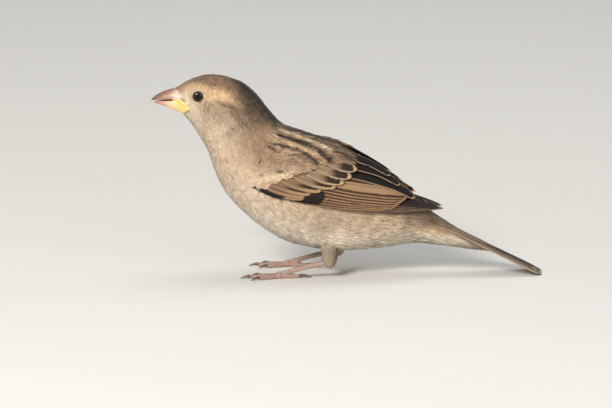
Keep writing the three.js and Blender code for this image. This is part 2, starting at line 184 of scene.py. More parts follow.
def loftPiece(name, rings, material, tones=None):  # a closed skin over rings, with a fan at each end
    count = rings.shape[1]
    points = np.vstack([rings.reshape(-1, 3), rings[0].mean(0), rings[-1].mean(0)])
    i = np.arange(count)
    after = (i + 1) % count
    last = (len(rings) - 1) * count
    caps = np.vstack([
        np.stack([np.full(count, len(points) - 2), after, i], axis=1),
        np.stack([np.full(count, len(points) - 1), last + i, last + after], axis=1),
    ])
    piece = meshPiece(name, points, [ringFaces(len(rings), count), caps], material, tones)
    selectOnly(piece)
    bpy.ops.object.mode_set(mode="EDIT")
    bpy.ops.mesh.select_all(action="SELECT")
    bpy.ops.mesh.normals_make_consistent(inside=False)
    bpy.ops.object.mode_set(mode="OBJECT")
    return piece


# Materials

def mathNode(operation, swapped=False):  # an operator that adds a Math node
    def act(self, *others):
        values = (*others, self) if swapped else (self, *others)
        return self.paint.node("ShaderNodeMath", {"operation": operation}, dict(enumerate(values)))
    return act


class Wire:  # a socket that can stand in a sum
    def __init__(self, paint, socket):
        self.paint = paint
        self.socket = socket

    __add__ = mathNode("ADD")
    __radd__ = mathNode("ADD", True)
    __sub__ = mathNode("SUBTRACT")
    __rsub__ = mathNode("SUBTRACT", True)
    __mul__ = mathNode("MULTIPLY")
    __rmul__ = mathNode("MULTIPLY", True)
    __truediv__ = mathNode("DIVIDE")
    __pow__ = mathNode("POWER")
    __abs__ = mathNode("ABSOLUTE")
    most = mathNode("MAXIMUM")
    wave = mathNode("SINE")

    def step(self, low, high):  # a soft step from 0 to 1
        sockets = {"Value": self, "From Min": low, "From Max": high}
        return self.paint.node("ShaderNodeMapRange", {"interpolation_type": "SMOOTHSTEP"}, sockets)


class Paint:  # a material on one Principled shader
    def __init__(self, name, **constants):
        self.material = bpy.data.materials.new(name)
        self.material.use_nodes = True
        self.tree = self.material.node_tree
        self.shader = self.tree.nodes["Principled BSDF"]
        for key, value in constants.items():
            self.shader.inputs[key.replace("_", " ")].default_value = value

    def node(self, kind, settings, sockets, output=0):
        made = self.tree.nodes.new(kind)
        for key, value in settings.items():
            if key == "stops":
                self.setStops(made.color_ramp, value)
            else:
                setattr(made, key, value)
        for key, value in sockets.items():
            self.plug(made.inputs[key], value)
        return Wire(self, made.outputs[output])

    def setStops(self, ramp, stops):
        while len(ramp.elements) < len(stops):
            ramp.elements.new(1)
        for element, (place, colour) in zip(ramp.elements, stops):
            element.position = place
            element.color = (*colour, 1)

    def plug(self, socket, value):
        if isinstance(value, Wire):
            self.tree.links.new(value.socket, socket)
        elif isinstance(value, np.ndarray):
            socket.default_value = (*value, 1) if len(socket.default_value) == 4 else tuple(value)
        else:
            socket.default_value = value

    def place(self):
        return self.node("ShaderNodeTexCoord", {}, {}, "Object")

    def axes(self, vector):
        split = self.node("ShaderNodeSeparateXYZ", {}, {"Vector": vector})
        return [split] + [Wire(self, split.socket.node.outputs[i]) for i in (1, 2)]

    def fromAxis(self, middle):  # millimetres from a line across the bird, through a middle
        x, _, z = self.axes(self.place())
        dx = x / mm - float(middle[0])
        dz = z / mm - float(middle[2])
        return (dx * dx + dz * dz) ** 0.5

    def joined(self, x, y, z):
        return self.node("ShaderNodeCombineXYZ", {}, {"X": x, "Y": y, "Z": z})

    def stretched(self, vector, scale):
        return self.node("ShaderNodeMapping", {}, {"Vector": vector, "Scale": scale})

    def noise(self, vector, scale, detail=2.0):
        return self.node("ShaderNodeTexNoise", {}, {"Vector": vector, "Scale": scale, "Detail": detail})

    def mix(self, share, first, second, blend="MIX"):
        settings = {"data_type": "RGBA", "blend_type": blend}
        return self.node("ShaderNodeMix", settings, {0: share, 6: first, 7: second}, 2)

    def attribute(self, name, output="Color"):
        return self.node("ShaderNodeAttribute", {"attribute_name": name}, {}, output)

    def multiplied(self, share, first, second):
        return self.mix(share, first, second, "MULTIPLY")

    def bump(self, height, strength, distance):
        sockets = {"Height": height, "Strength": strength, "Distance": distance}
        return self.node("ShaderNodeBump", {}, sockets)

    def finish(self, colour=None, roughness=None, normal=None):
        for key, value in {"Base Color": colour, "Roughness": roughness, "Normal": normal}.items():
            if value is not None:
                self.plug(self.shader.inputs[key], value)
        return self.material


# Camera, floor and lights

view = {"look": (-0.01515, 0, 0.0264), "distance": 3.0, "elevation": 10, "lens": 466, "far": 50, "floor": 20,
        "sky": (0.93, 0.96, 1.0, 1), "skyPower": 0.36}
lamps = [
    {"name": "key", "place": (-0.68, -1.38, 0.92), "size": 0.5, "power": 35, "warmth": (1.0, 0.98, 0.945)},
    {"name": "fill", "place": (0.9, -1.3, 0.5), "size": 1.4, "power": 6, "warmth": (0.9, 0.95, 1.0)},
    {"name": "top", "place": (0.2, 0.5, 1.5), "size": 1.0, "power": 8, "warmth": (1.0, 0.98, 0.95)},
]


def aimAt(holder, heading):
    holder.rotation_euler = heading.to_track_quat("-Z", "Y").to_euler()


def makeStage():
    scene = bpy.context.scene
    scene.view_settings.view_transform = "Standard"
    camera = bpy.data.objects.new("camera", bpy.data.cameras.new("camera"))
    scene.collection.objects.link(camera)
    rise = math.radians(view["elevation"])
    offset = Vector((0, -math.cos(rise), math.sin(rise))) * view["distance"]
    camera.location = Vector(view["look"]) + offset
    aimAt(camera, -offset)
    camera.data.sensor_width = 36
    camera.data.lens = view["lens"]
    camera.data.clip_end = view["far"]
    scene.camera = camera
    for lamp in lamps:
        light = bpy.data.lights.new(lamp["name"], "AREA")
        light.size = lamp["size"]
        light.energy = lamp["power"]
        light.color = lamp["warmth"]
        holder = bpy.data.objects.new(lamp["name"], light)
        scene.collection.objects.link(holder)
        holder.location = lamp["place"]
        aimAt(holder, Vector(view["look"]) - Vector(lamp["place"]))
    world = bpy.data.worlds.new("soft room")
    world.use_nodes = True
    sky = world.node_tree.nodes["Background"]
    sky.inputs["Color"].default_value = view["sky"]
    sky.inputs["Strength"].default_value = view["skyPower"]
    scene.world = world
    bpy.ops.object.select_all(action="DESELECT")
    bpy.ops.mesh.primitive_plane_add(size=view["floor"])
    floor = bpy.context.active_object
    floor.name = "floor"
    pale = Paint("pale floor", Roughness=0.9)
    cloud = pale.noise(pale.place(), 3.0)
    floor.data.materials.append(pale.finish(pale.mix(cloud, tone(214, 211, 205), tone(220, 217, 212))))


makeStage()
print("stage: camera, floor and", len(lamps), "lamps")


# The body's form: stations from the face to the tail coverts, over the coat.
# top and low are x, z on the back and the breast line, wide is the half width, level moves the widest place.

body = {
    "stations": [
        [-64.8, 70.2, -62.6, 62.0, 3.7, 0],
        [-62.3, 72.2, -60.6, 60.0, 5.7, 0],
        [-57.3, 74.8, -58.0, 56.8, 7.7, 0.05],
        [-51.5, 76.1, -55.7, 53.0, 9.2, 0],
        [-45.5, 75.4, -53.5, 49.4, 10.2, -0.1],
        [-38.8, 72.9, -51.6, 45.2, 10.8, -0.1],
        [-33.5, 68.2, -50.0, 40.4, 11.7, -0.1],
        [-29.0, 62.4, -48.1, 35.8, 13.4, -0.05],
        [-23.9, 57.2, -45.1, 30.4, 15.3, 0],
        [-16.5, 54.5, -39.7, 24.5, 16.8, 0],
        [-8.0, 51.5, -32.2, 18.1, 17.4, 0],
        [0.0, 47.4, -22.8, 12.6, 17.5, -0.05],
        [8.0, 41.6, -12.0, 10.0, 16.4, -0.15],
        [16.0, 35.4, -0.5, 9.0, 14.2, -0.15],
        [23.5, 30.2, 12.5, 9.9, 11.4, -0.1],
        [31.0, 24.6, 25.5, 11.6, 8.2, 0],
        [38.8, 19.3, 37.0, 10.6, 6.2, 0],
        [45.6, 15.2, 47.0, 9.2, 4.6, 0],
        [50.4, 12.3, 52.2, 8.6, 2.9, 0],
        [53.4, 10.6, 54.8, 8.2, 1.2, 0],
    ],
    # hollows and swellings of the face and neck: place on the side, reach and height
    "relief": [
        {"at": (-55.9, 68.8), "reach": (3.3, 3.0), "height": -0.75},
        {"at": (-55.4, 72.4), "reach": (4.2, 1.4), "height": 0.3},
        {"at": (-60.6, 67.9), "reach": (2.0, 1.3), "height": -0.3},
        {"at": (-50.0, 62.8), "reach": (6.0, 4.6), "height": 0.5},
        {"at": (-42.8, 63.0), "reach": (1.5, 5.5), "height": -0.45},
        {"at": (-47.0, 53.0), "reach": (1.6, 3.5), "height": -0.3},
        {"at": (-63.5, 68.7), "reach": (1.7, 1.3), "height": -1.4},
        {"at": (-4.5, 14.0), "reach": (8.0, 2.4), "height": 1.2},
    ],
    "rows": 480,
    "columns": 200,
}


def gridOf(rows, columns, wraps=True):  # shares along and across a sheet, without the last line if it wraps
    lines = np.arange(columns) / columns if wraps else np.linspace(0, 1, columns)
    return np.linspace(0, 1, rows)[:, None] * np.ones((1, columns)), np.ones((rows, 1)) * lines[None, :]


def farFrom(form, x, z):  # 1 at a form's reach, seen from the side
    return np.hypot((x - form["at"][0]) / form["reach"][0], (z - form["at"][1]) / form["reach"][1])


class Surface:  # a grid of places with their outward directions, read smoothly between its lines
    def __init__(self, rows, columns, place, wraps, outward=1):
        self.rows = rows
        self.columns = columns
        self.wraps = wraps
        self.places = place(*gridOf(rows, columns, wraps))
        self.measure(outward)

    def measure(self, outward):
        self.along = np.gradient(self.places, axis=0) * (self.rows - 1)
        if self.wraps:
            padded = np.concatenate([self.places[:, -1:], self.places, self.places[:, :1]], axis=1)
            self.across = np.gradient(padded, axis=1)[:, 1:-1] * self.columns
        else:
            self.across = np.gradient(self.places, axis=1) * (self.columns - 1)
        self.outward = unit(np.cross(self.along, self.across)) * outward
        self.alongSize = np.linalg.norm(self.along, axis=-1)
        self.acrossSize = np.linalg.norm(self.across, axis=-1)

    def read(self, grid, t, c):
        y = np.clip(t, 0, 1) * (self.rows - 1)
        y0 = np.minimum(y.astype(int), self.rows - 2)
        if self.wraps:
            x = c * self.columns
            x0 = np.floor(x).astype(int)
            u = x - x0
            x0 = x0 % self.columns
            x1 = (x0 + 1) % self.columns
        else:
            x = np.clip(c, 0, 1) * (self.columns - 1)
            x0 = np.minimum(x.astype(int), self.columns - 2)
            x1 = x0 + 1
            u = x - x0
        v = y - y0
        if grid.ndim == 3:
            u = u[..., None]
            v = v[..., None]
        first = grid[y0, x0] * (1 - u) + grid[y0, x1] * u
        second = grid[y0 + 1, x0] * (1 - u) + grid[y0 + 1, x1] * u
        return first * (1 - v) + second * v

    def at(self, t, c, rise=None):
        beyond = (t - np.clip(t, 0, 1))[..., None]
        place = self.read(self.places, t, c) + self.read(self.along, t, c) * beyond
        if rise is None:
            return place
        return place + unit(self.read(self.outward, t, c)) * rise[..., None]


bodyLine = curveOf(body["stations"])


def bodyPlace(t, c):
    topX, topZ, lowX, lowZ, wide, level = np.moveaxis(bodyLine(t), -1, 0)
    turn = c * 2 * math.pi
    lift = np.cos(turn) + level * np.sin(turn) ** 2
    x = (topX + lowX) / 2 + (topX - lowX) / 2 * lift
    z = (topZ + lowZ) / 2 + (topZ - lowZ) / 2 * lift
    return np.stack([x, wide * np.sin(turn), z], axis=-1)


def addRelief(surface, forms):
    x, _, z = np.moveaxis(surface.places, -1, 0)
    height = np.zeros_like(x)
    for form in forms:
        height += form["height"] * np.exp(-farFrom(form, x, z) ** 2)
    surface.places = surface.places + surface.outward * height[..., None]
    surface.measure(1)


def sideReach(surface, x, z):  # half width of the body at places x, z seen from the side, or 0 off the body
    half = surface.places[:, : surface.columns // 2].reshape(-1, 3)
    half = half[half[:, 0] < x.max() + 3]  # no place further back can be the nearest
    far = np.hypot(half[:, 0] - x[..., None], half[:, 2] - z[..., None])
    return np.where(far.min(-1) < 0.4, np.abs(half[:, 1])[far.argmin(-1)], 0)


bodySurface = Surface(body["rows"], body["columns"], bodyPlace, True)
addRelief(bodySurface, body["relief"])

# The folded wing is a bowed sheet between its lower and upper edge.
# Stations: x, half width and height of the lower edge, then of the upper edge, bow
wingSheet = {
    "stations": [
        [-36, 13.8, 36.8, 13.0, 40.0, 0.2],
        [-31, 16.2, 33.0, 12.9, 46.4, 1.3],
        [-22, 18.1, 31.2, 12.2, 50.6, 2.3],
        [-10, 18.9, 30.0, 10.4, 50.4, 2.7],
        [0, 18.4, 28.4, 7.6, 47.6, 2.6],
        [10, 16.3, 27.2, 4.9, 41.6, 2.2],
        [20, 12.6, 26.4, 3.4, 35.8, 1.4],
        [30, 7.9, 25.2, 2.6, 29.4, 0.6],
        [39, 3.6, 24.4, 2.6, 25.4, 0.1],
    ],
    "rows": 200,
    "columns": 60,
}
wingLine = curveOf(wingSheet["stations"])
wingX = np.array([row[0] for row in wingSheet["stations"]], float)


def wingShare(x):  # how far along the sheet a place in x is
    return np.interp(x, wingX, np.linspace(0, 1, len(wingX)))


def wingPlace(side):
    def place(s, u):
        x, lowY, lowZ, highY, highZ, bow = np.moveaxis(wingLine(s), -1, 0)
        outY = highZ - lowZ
        outZ = lowY - highY
        size = np.hypot(outY, outZ)
        swell = bow * np.sin(math.pi * np.clip(u, 0, 1))
        y = lowY + (highY - lowY) * u + swell * outY / size
        z = lowZ + (highZ - lowZ) * u + swell * outZ / size
        return np.stack([x, y * side, z], axis=-1)
    return place


wingSurfaces = {}
for name, side in sides.items():
    wingSurfaces[name] = Surface(wingSheet["rows"], wingSheet["columns"], wingPlace(side), False, -side)

# Thighs, from inside the belly down to the heel: x, shift in y, z, half length and half width of the section
thigh = {
    "stations": [
        [-5.0, -5.0, 20.6, 5.6, 4.4],
        [-6.0, -3.0, 14.2, 3.6, 3.4],
        [-6.3, -1.2, 9.2, 3.0, 2.7],
        [-6.3, -0.2, 6.3, 2.6, 2.3],
        [-6.2, 0.0, 4.8, 1.6, 1.4],
    ],
    "cuff": [[-6.1, 0.0, 4.4, 0.6, 0.6]],  # where the feathers' tips close in over the heel
    "spacing": 12.3,
    "stride": {"left": 0, "right": 3},
    "rows": 60,
    "columns": 40,
}


def thighPlace(side, shift, stations):
    line = curveOf(stations)

    def place(t, c):
        x, inward, z, long, wide = np.moveaxis(line(t), -1, 0)
        turn = c * 2 * math.pi
        y = side * (thigh["spacing"] + inward) + wide * np.sin(turn)
        return np.stack([x + shift + long * np.cos(turn), y, z], axis=-1)
    return place


def thighSurface(name, stations):
    place = thighPlace(sides[name], thigh["stride"][name], stations)
    return Surface(thigh["rows"], thigh["columns"], place, True)


# Bill and gape, which the coat also leaves bare

bill = {
    # from the tip back: x, ridge height, edge height, half width
    "upper": [
        [-73.5, 66.75, 66.35, 0.25],
        [-71.6, 68.35, 66.5, 1.15],
        [-68.8, 69.75, 66.8, 2.25],
        [-64.6, 70.9, 66.9, 3.45],
        [-60.2, 71.0, 64.8, 4.2],
    ],
    "lower": [
        [-72.3, 65.3, 65.75, 0.3],
        [-70.6, 64.75, 65.95, 1.15],
        [-68.2, 63.9, 66.15, 2.1],
        [-64.6, 62.4, 66.2, 3.35],
        [-60.2, 60.9, 64.15, 4.1],
    ],
    "rings": 60,
    "arch": 30,
    "bow": 0.25,  # of the horn inside the mouth
    "floor": 9,  # lines across it, with both edges
    "gapeRings": 48,
    "gapeSides": 22,
    # how far the pad's front and back lie in, how far its lips swell, the groove between them, and the
    # painted shade in that groove
    "pad": {"front": 0.25, "back": 0.7, "swell": 0.5, "groove": 0.3, "grooveHalf": 0.17, "shade": 0.55},
    "edge": ([-61.4, -61.8, -62.8, -64.4], [67.5, 68.5, 69.8, 71.0]),  # where feathers begin: x by height
    "nostril": {"at": (-64.0, 69.6), "reach": (0.75, 0.42), "deep": 0.5},
    # the fleshy corner of the mouth: x, top, low and height of the groove between its lips
    "gape": [
        [-65.6, 67.0, 66.3, 66.65],
        [-64.2, 67.9, 65.6, 66.6],
        [-63.2, 67.7, 64.0, 66.2],
        [-62.2, 67.0, 62.4, 65.7],
        [-61.3, 66.3, 61.8, 65.1],
        [-60.4, 65.5, 62.5, 64.6],
        [-59.6, 64.9, 63.1, 64.1],
        [-58.9, 64.2, 63.6, 63.9],
    ],
}


# Markings, the same for skin and coat: soft patches on the side view, painted one over another

tones = {
    "cream": tone(238, 225, 204),
    "buff": tone(214, 190, 160),
    "paleBuff": tone(230, 212, 186),
    "warmBuff": tone(224, 188, 144),
    "sandy": tone(186, 154, 120),
    "brown": tone(148, 120, 92),
    "greyBrown": tone(166, 144, 118),
    "rumpBrown": tone(124, 102, 82),
    "thighGrey": tone(174, 152, 126),
    "earBrown": tone(118, 94, 72),
    "dusk": tone(70, 55, 44),
    "umber": tone(66, 52, 42),
    "black": tone(30, 25, 24),
    "streakCream": tone(232, 208, 170),
    "rufous": tone(186, 136, 92),
}
# The ground colour over the belly's cream: a tone and where it comes in, from the belly line to the back
grounds = [("paleBuff", 0.02, 0.3), ("buff", 0.25, 0.6), ("sandy", 0.6, 0.85), ("brown", 0.85, 1.0)]
# Soft patches: tone, middle in x and z, reach in x and z, turn in degrees, softness of the edge, share
patches = [
    ("paleBuff", -40, 40, 16, 20, 0, 0.6, 0.35),
    ("buff", -46, 46, 12, 12, 0, 0.7, 0.6),
    ("sandy", -38, 42, 8, 14, 20, 0.9, 0.35),
    ("cream", -22, 16, 22, 9, 0, 0.6, 0.7),
    ("cream", 10, 12, 24, 5, 0, 0.6, 0.65),
    ("sandy", 0, 25, 30, 8, 4, 0.8, 0.6),
    # a grey-brown smudge on the belly above the thigh: painted shade
    ("greyBrown", -7, 20, 4, 7, 20, 0.9, 0.45),
    ("greyBrown", 18, 19, 12, 4, 8, 0.9, 0.35),
    ("greyBrown", 46, 14, 12, 5, 20, 0.6, 0.8),
    ("rumpBrown", 34, 24, 26, 7, 30, 0.5, 0.9),
    ("warmBuff", 37, 15.8, 9, 1.8, 14, 0.8, 0.5),
    ("cream", 37, 13.2, 10, 2.0, 10, 0.7, 0.8),
    ("thighGrey", -6.2, 7.6, 4.6, 4.4, 0, 0.4, 0.9),
    ("brown", -51, 76.5, 15, 5.0, 0, 0.5, 0.85),
    ("sandy", -60, 72.5, 4, 2.8, 0, 0.6, 0.6),
    ("greyBrown", -48.5, 63, 7.5, 5.2, 0, 0.5, 0.85),
    ("buff", -52, 55, 5, 6, 0, 0.7, 0.8),
    ("warmBuff", -49.4, 69.4, 6.4, 2.5, 8, 0.5, 0.9),
    ("warmBuff", -42.4, 66.8, 4.0, 1.3, 38, 0.6, 0.75),
    ("warmBuff", -55.6, 71.9, 4.4, 1.6, 0, 0.6, 0.9),
    ("paleBuff", -59.6, 67.6, 2.6, 3.6, 0, 0.6, 0.9),
    ("paleBuff", -58.5, 61, 3.6, 3.6, 0, 0.6, 0.8),
    # the dark crescent round the rear of the ear coverts: partly their own darker edge, partly painted shade
    # in the fold behind them
    ("earBrown", -44.6, 65.6, 4.2, 0.9, 22, 0.8, 0.8),
    ("earBrown", -40.9, 61.4, 3.6, 1.2, 76, 0.8, 0.8),
    ("earBrown", -42.6, 55.8, 2.6, 1.2, 130, 0.8, 0.75),
    # the dark nape: partly its own dark brown, partly painted shade on the hind neck
    ("dusk", -34, 67, 12, 5.0, 47, 0.7, 0.82),
    ("dusk", -33, 60, 8, 5.5, 50, 0.8, 0.75),
    ("earBrown", -35, 55, 6, 6, 0, 0.9, 0.6),
    ("umber", -7, 53.6, 22, 3.4, 17, 0.6, 0.8),
    ("brown", 16, 36, 14, 6, 38, 0.6, 0.7),
    ("sandy", -27, 50, 9, 6, 0, 0.7, 0.8),
    ("warmBuff", -16, 49.6, 9, 2.6, 20, 0.7, 0.7),
    ("dusk", -14.5, 46.2, 3.0, 0.8, 14, 0.9, 0.75),
    ("dusk", -19.5, 44.9, 1.3, 0.9, 30, 0.9, 0.7),
    ("dusk", -11.6, 44.2, 2.2, 1.0, 30, 0.9, 0.7),
    ("earBrown", -32.8, 48.2, 2.2, 0.9, 32, 0.9, 0.7),
    ("black", -6.2, 45.3, 2.8, 0.9, 38, 0.7, 0.85),
    ("earBrown", 1, 46, 6, 2.4, 32, 0.7, 0.7),
    ("sandy", -27.5, 44.6, 8, 3.6, 0, 0.6, 0.65),
    ("brown", -33, 51, 8, 9, 0, 0.9, 0.45),
    ("brown", -19, 43, 13, 5, 16, 0.8, 0.5),
    ("rufous", -26, 36.6, 8, 2.6, 20, 0.6, 0.5),
    ("streakCream", -24.8, 39.6, 6.4, 1.1, -7, 0.8, 0.95),
    ("streakCream", -32.2, 38.2, 1.6, 1.0, 0, 0.8, 0.9),
    ("black", -23.8, 41.4, 1.2, 0.6, 0, 0.6, 0.85),
    ("black", -31.2, 40.0, 0.8, 0.5, 0, 0.6, 0.8),
]
# Streaks, from front to back: tone, half width in front and behind, share, places in x and z
streaks = [
    # the broad umber band and the black line along the nape's outline: partly dark feathers, partly painted
    # shade
    ("umber", (1.6, 2.2), 0.5, [(-42, 74.0), (-34, 66.8), (-29.5, 60.8), (-25, 57.0)]),
    ("black", (0.6, 0.9), 0.75, [(-41, 73.8), (-34, 67.8), (-29.5, 62.0), (-26, 58)]),
    ("black", (0.5, 0.7), 0.75, [(-28, 59.6), (-18.6, 55.6), (-10.6, 53.2), (-0.4, 48.6), (12, 40.6)]),
    ("sandy", (0.14, 0.2), 0.6, [(-20, 54.9), (-10, 51.9), (0, 47.6), (10, 41)]),
    ("streakCream", (0.3, 0.42), 0.95,
     [(-24.4, 55.6), (-18.6, 53.8), (-14, 52.1), (-9.1, 50.3), (-3.4, 47.8)]),
    ("black", (0.45, 1.1), 0.95,
     [(-25.4, 54.2), (-21.2, 53), (-16.3, 51.4), (-12.5, 49.9), (-8.7, 47.6), (-5, 44.4)]),
    ("black", (0.4, 0.8), 0.9, [(-26.4, 51.2), (-21, 50.2), (-16.6, 48.4), (-12.6, 46.2), (-9.4, 43.2)]),
    ("umber", (0.4, 0.45), 0.75, [(-28.6, 50.2), (-25.6, 48.9)]),
    ("black", (0.4, 0.8), 0.8, [(-5, 48.2), (-1, 46.4), (3, 43.8)]),
    ("dusk", (0.3, 0.45), 0.6, [(-46.9, 53.1), (-44.5, 54.5), (-42.2, 56.8)]),
]
# Stripes along the middle of the mantle: their stretch in x, reach to each side and the gap between two
mantle = {"from": -27, "to": 10, "reach": 6.5, "gap": 3.1, "wander": 0.5, "share": 0.8}
# How strongly the small feathers' own dark shaft streaks show, as soft patches on the side view
leastMottling = 0.08
mottles = [
    {"at": (-50, 75), "reach": (14, 5), "amount": 0.5},
    {"at": (-34, 65), "reach": (12, 10), "amount": 0.55},
    {"at": (-10, 50), "reach": (26, 8), "amount": 0.5},
    {"at": (30, 26), "reach": (26, 9), "amount": 0.4},
    {"at": (0, 20), "reach": (34, 11), "amount": 0.2},
    {"at": (36, 14), "reach": (16, 5), "amount": 0.32},
    {"at": (-6, 7), "reach": (6, 5), "amount": 0.3},
    {"at": (-50, 63), "reach": (12, 9), "amount": 0.24},
]


def mottling(points):
    x, _, z = np.moveaxis(points, -1, 0)
    amount = np.full(x.shape, leastMottling)
    for patch in mottles:
        amount = np.maximum(amount, patch["amount"] * (1 - smooth(0.6, 1.2, farFrom(patch, x, z))))
    return amount


def blended(colour, name, share):
    return colour + (tones[name] - colour) * share[..., None]


def markings(points):
    x, y, z = np.moveaxis(points, -1, 0)
    lines = np.array(body["stations"])
    top = np.interp(x, lines[:, 0], lines[:, 1])
    low = np.interp(x, lines[:, 2], lines[:, 3])
    height = np.clip((z - low) / np.maximum(top - low, 1), 0, 1)
    colour = tones["cream"] * np.ones(points.shape)
    for name, start, end in grounds:
        colour = blended(colour, name, smooth(start, end, height))
    for name, middleX, middleZ, reachX, reachZ, turn, soft, share in patches:
        dx = x - middleX
        dz = z - middleZ
        cos = math.cos(math.radians(turn))
        sin = math.sin(math.radians(turn))
        far = np.hypot((dx * cos - dz * sin) / reachX, (dx * sin + dz * cos) / reachZ)
        colour = blended(colour, name, (1 - smooth(1 - soft, 1 + soft, far)) * share)
    side = np.abs(y)
    wave = np.cos(2 * math.pi * (side + mantle["wander"] * np.sin(0.7 * x)) / mantle["gap"])
    onMantle = smooth(0.7, 0.85, height) * (1 - smooth(mantle["reach"] - 2, mantle["reach"] + 1, side))
    onMantle = onMantle * smooth(mantle["from"] - 3, mantle["from"] + 2, x)
    onMantle = onMantle * (1 - smooth(mantle["to"] - 5, mantle["to"] + 3, x))
    colour = blended(colour, "black", mantle["share"] * onMantle * smooth(0.0, 0.6, wave))
    for name, wide, share, places in streaks:
        alongX, alongZ = np.array(places).T
        first, last = alongX[[0, -1]]
        far = np.abs(z - np.interp(x, alongX, alongZ))
        half = np.interp(x, [first, last], wide)
        ends = smooth(first - 1, first + 0.6, x) * (1 - smooth(last - 0.6, last + 1, x))
        colour = blended(colour, name, (1 - smooth(half * 0.5, half * 1.6, far)) * ends * share)
    return colour


# Skin: one even surface under the whole coat

# how deep it lies under the feathers' outline, by station of the body
skinDepths = [0.2, 0.3, 0.4, 0.55, 0.65, 0.8, 0.9, 1.0, 1.05, 1.1]
skinDepths += [1.15, 1.2, 1.25, 1.25, 1.15, 1.0, 0.8, 0.6, 0.4, 0.3]
coatDepth = curveOf([[depth] for depth in skinDepths])
skin = {
    "voxel": 0.55, "smoothing": 6, "rings": 220, "sides": 96, "thighRings": 24, "thighSides": 28,
    "thighIn": 0.35, "wingIn": 0.5, "underCoatShade": 0.62,
}


def makeSkin():
    paint = Paint("feathered skin", Roughness=0.85)
    grain = paint.noise(paint.place(), 1800.0)
    colour = paint.mix(grain, tone(150, 140, 130), tone(255, 250, 245))
    colour = paint.multiplied(1.0, paint.attribute("tone"), colour)
    paint.finish(colour, None, paint.bump(grain, 0.4, 0.0002))
    t, c = gridOf(skin["rings"], skin["sides"])
    pieces = [loftPiece("skin", bodySurface.at(t, c, -coatDepth(t)[..., 0]), paint.material)]
    t, c = gridOf(skin["thighRings"], skin["thighSides"])
    for name in sides:
        surface = thighSurface(name, thigh["stations"])
        rings = surface.at(t, c, np.full(t.shape, -skin["thighIn"]))
        pieces.append(loftPiece("thigh", rings, paint.material))
    for name in sides:
        pad = copyOfNodes("pad", f"wing_{name}_coverts")
        pad.data.materials.append(paint.material)
        movePoints(pad, pointsOf(pad) - normalsOf(pad) * skin["wingIn"])
        pieces.append(pad)
    selectOnly(*pieces)
    bpy.ops.object.join()
    piece = bpy.context.view_layer.objects.active
    piece.name = "skin"
    voxelSkin(piece, skin["voxel"], skin["smoothing"])
    if not piece.data.materials:
        piece.data.materials.append(paint.material)
    # the skin carries the coat's markings, darkened as painted shade where it lies under the feathers
    colourPoints(piece.data, "tone", markings(pointsOf(piece)) * skin["underCoatShade"])
    nodes = ["head", "neck", "trunk"]
    for name in sides:
        nodes += [f"thigh_{name}", f"wing_{name}_coverts"]
    settle(piece, "plumage", *nodes)
    print("skin:", len(piece.data.polygons), "faces")


makeSkin()


# Coat: each small feather is a fan of thin locks that leave the skin together and end on the body's outline

coat = {
    "sizes": [  # length and width, by station of the body
        [1.3, 0.8], [1.6, 0.95], [2.0, 1.15], [2.7, 1.5], [3.1, 1.8], [3.7, 2.2], [4.3, 2.6], [5.0, 3.1],
        [5.6, 3.5], [6.2, 3.8], [6.8, 4.1], [7.2, 4.4], [7.8, 4.6], [8.2, 4.7], [8.4, 4.5], [8.4, 4.2],
        [8.2, 3.6], [6.6, 2.8], [4.0, 2.0], [2.0, 1.2],
    ],
    "rowGap": 0.25,  # rows of feathers, as a share of their length
    "columnGap": 0.36,  # feathers in a row, as a share of their width
    "aside": 0.22,  # how far a feather strays along its row, as a share of its room
    "drift": 0.3,  # and out of its row, as a share of the gap
    "thinned": 1.3,  # below 1, feathers are left out even where the rows don't crowd
    "samples": 600,  # places along the body at which the rows are worked out
    "patch": 0.003,  # side of a tuft's patch on the bake map
    "limit": 180000,  # triangles in a piece
}
fan = {
    "short": {"locks": 8, "shares": [0, 0.55, 1], "fill": 1.5},
    "middle": {"locks": 12, "shares": [0, 0.4, 0.78, 1], "fill": 1.45},
    "long": {"locks": 16, "shares": [0, 0.4, 0.78, 1], "fill": 1.4},
}
lock = {  # how the locks of one feather differ, as shares of its own size
    "aside": 0.6, "shorter": 0.34, "lengths": (0.86, 1.1), "widths": (0.7, 1.25),
    "profile": ([0, 0.4, 0.8, 1], [0.7, 1, 0.72, 0]),  # width from root to tip
    "stray": 0.05, "rooted": 0.08, "uneven": 0.06, "droop": 0.28, "loose": 0.05, "roll": 0.13,
}
tinting = {  # shades within the coat: the same everywhere, and what a mottled place adds
    "feather": (0.05, 0.3), "lock": (0.07, 0.15),
    # root: how dark a lock is at the skin, partly the grey down of its base and partly painted shade between
    # the tufts
    "root": 0.45, "tip": 0.1, "shaft": 0.3, "range": (0.12, 1.35),
}
featherSize = curveOf(coat["sizes"])


def makeCoatPaint():
    paint = Paint("contour feathers", Roughness=0.78, Specular_IOR_Level=0.3, Sheen_Weight=0.12)
    grain = paint.noise(paint.place(), 5200.0)
    shade = paint.mix(grain, tone(212, 210, 208), tone(255, 255, 255))
    return paint.finish(paint.multiplied(1.0, paint.attribute("tone"), shade))


coatPaint = makeCoatPaint()


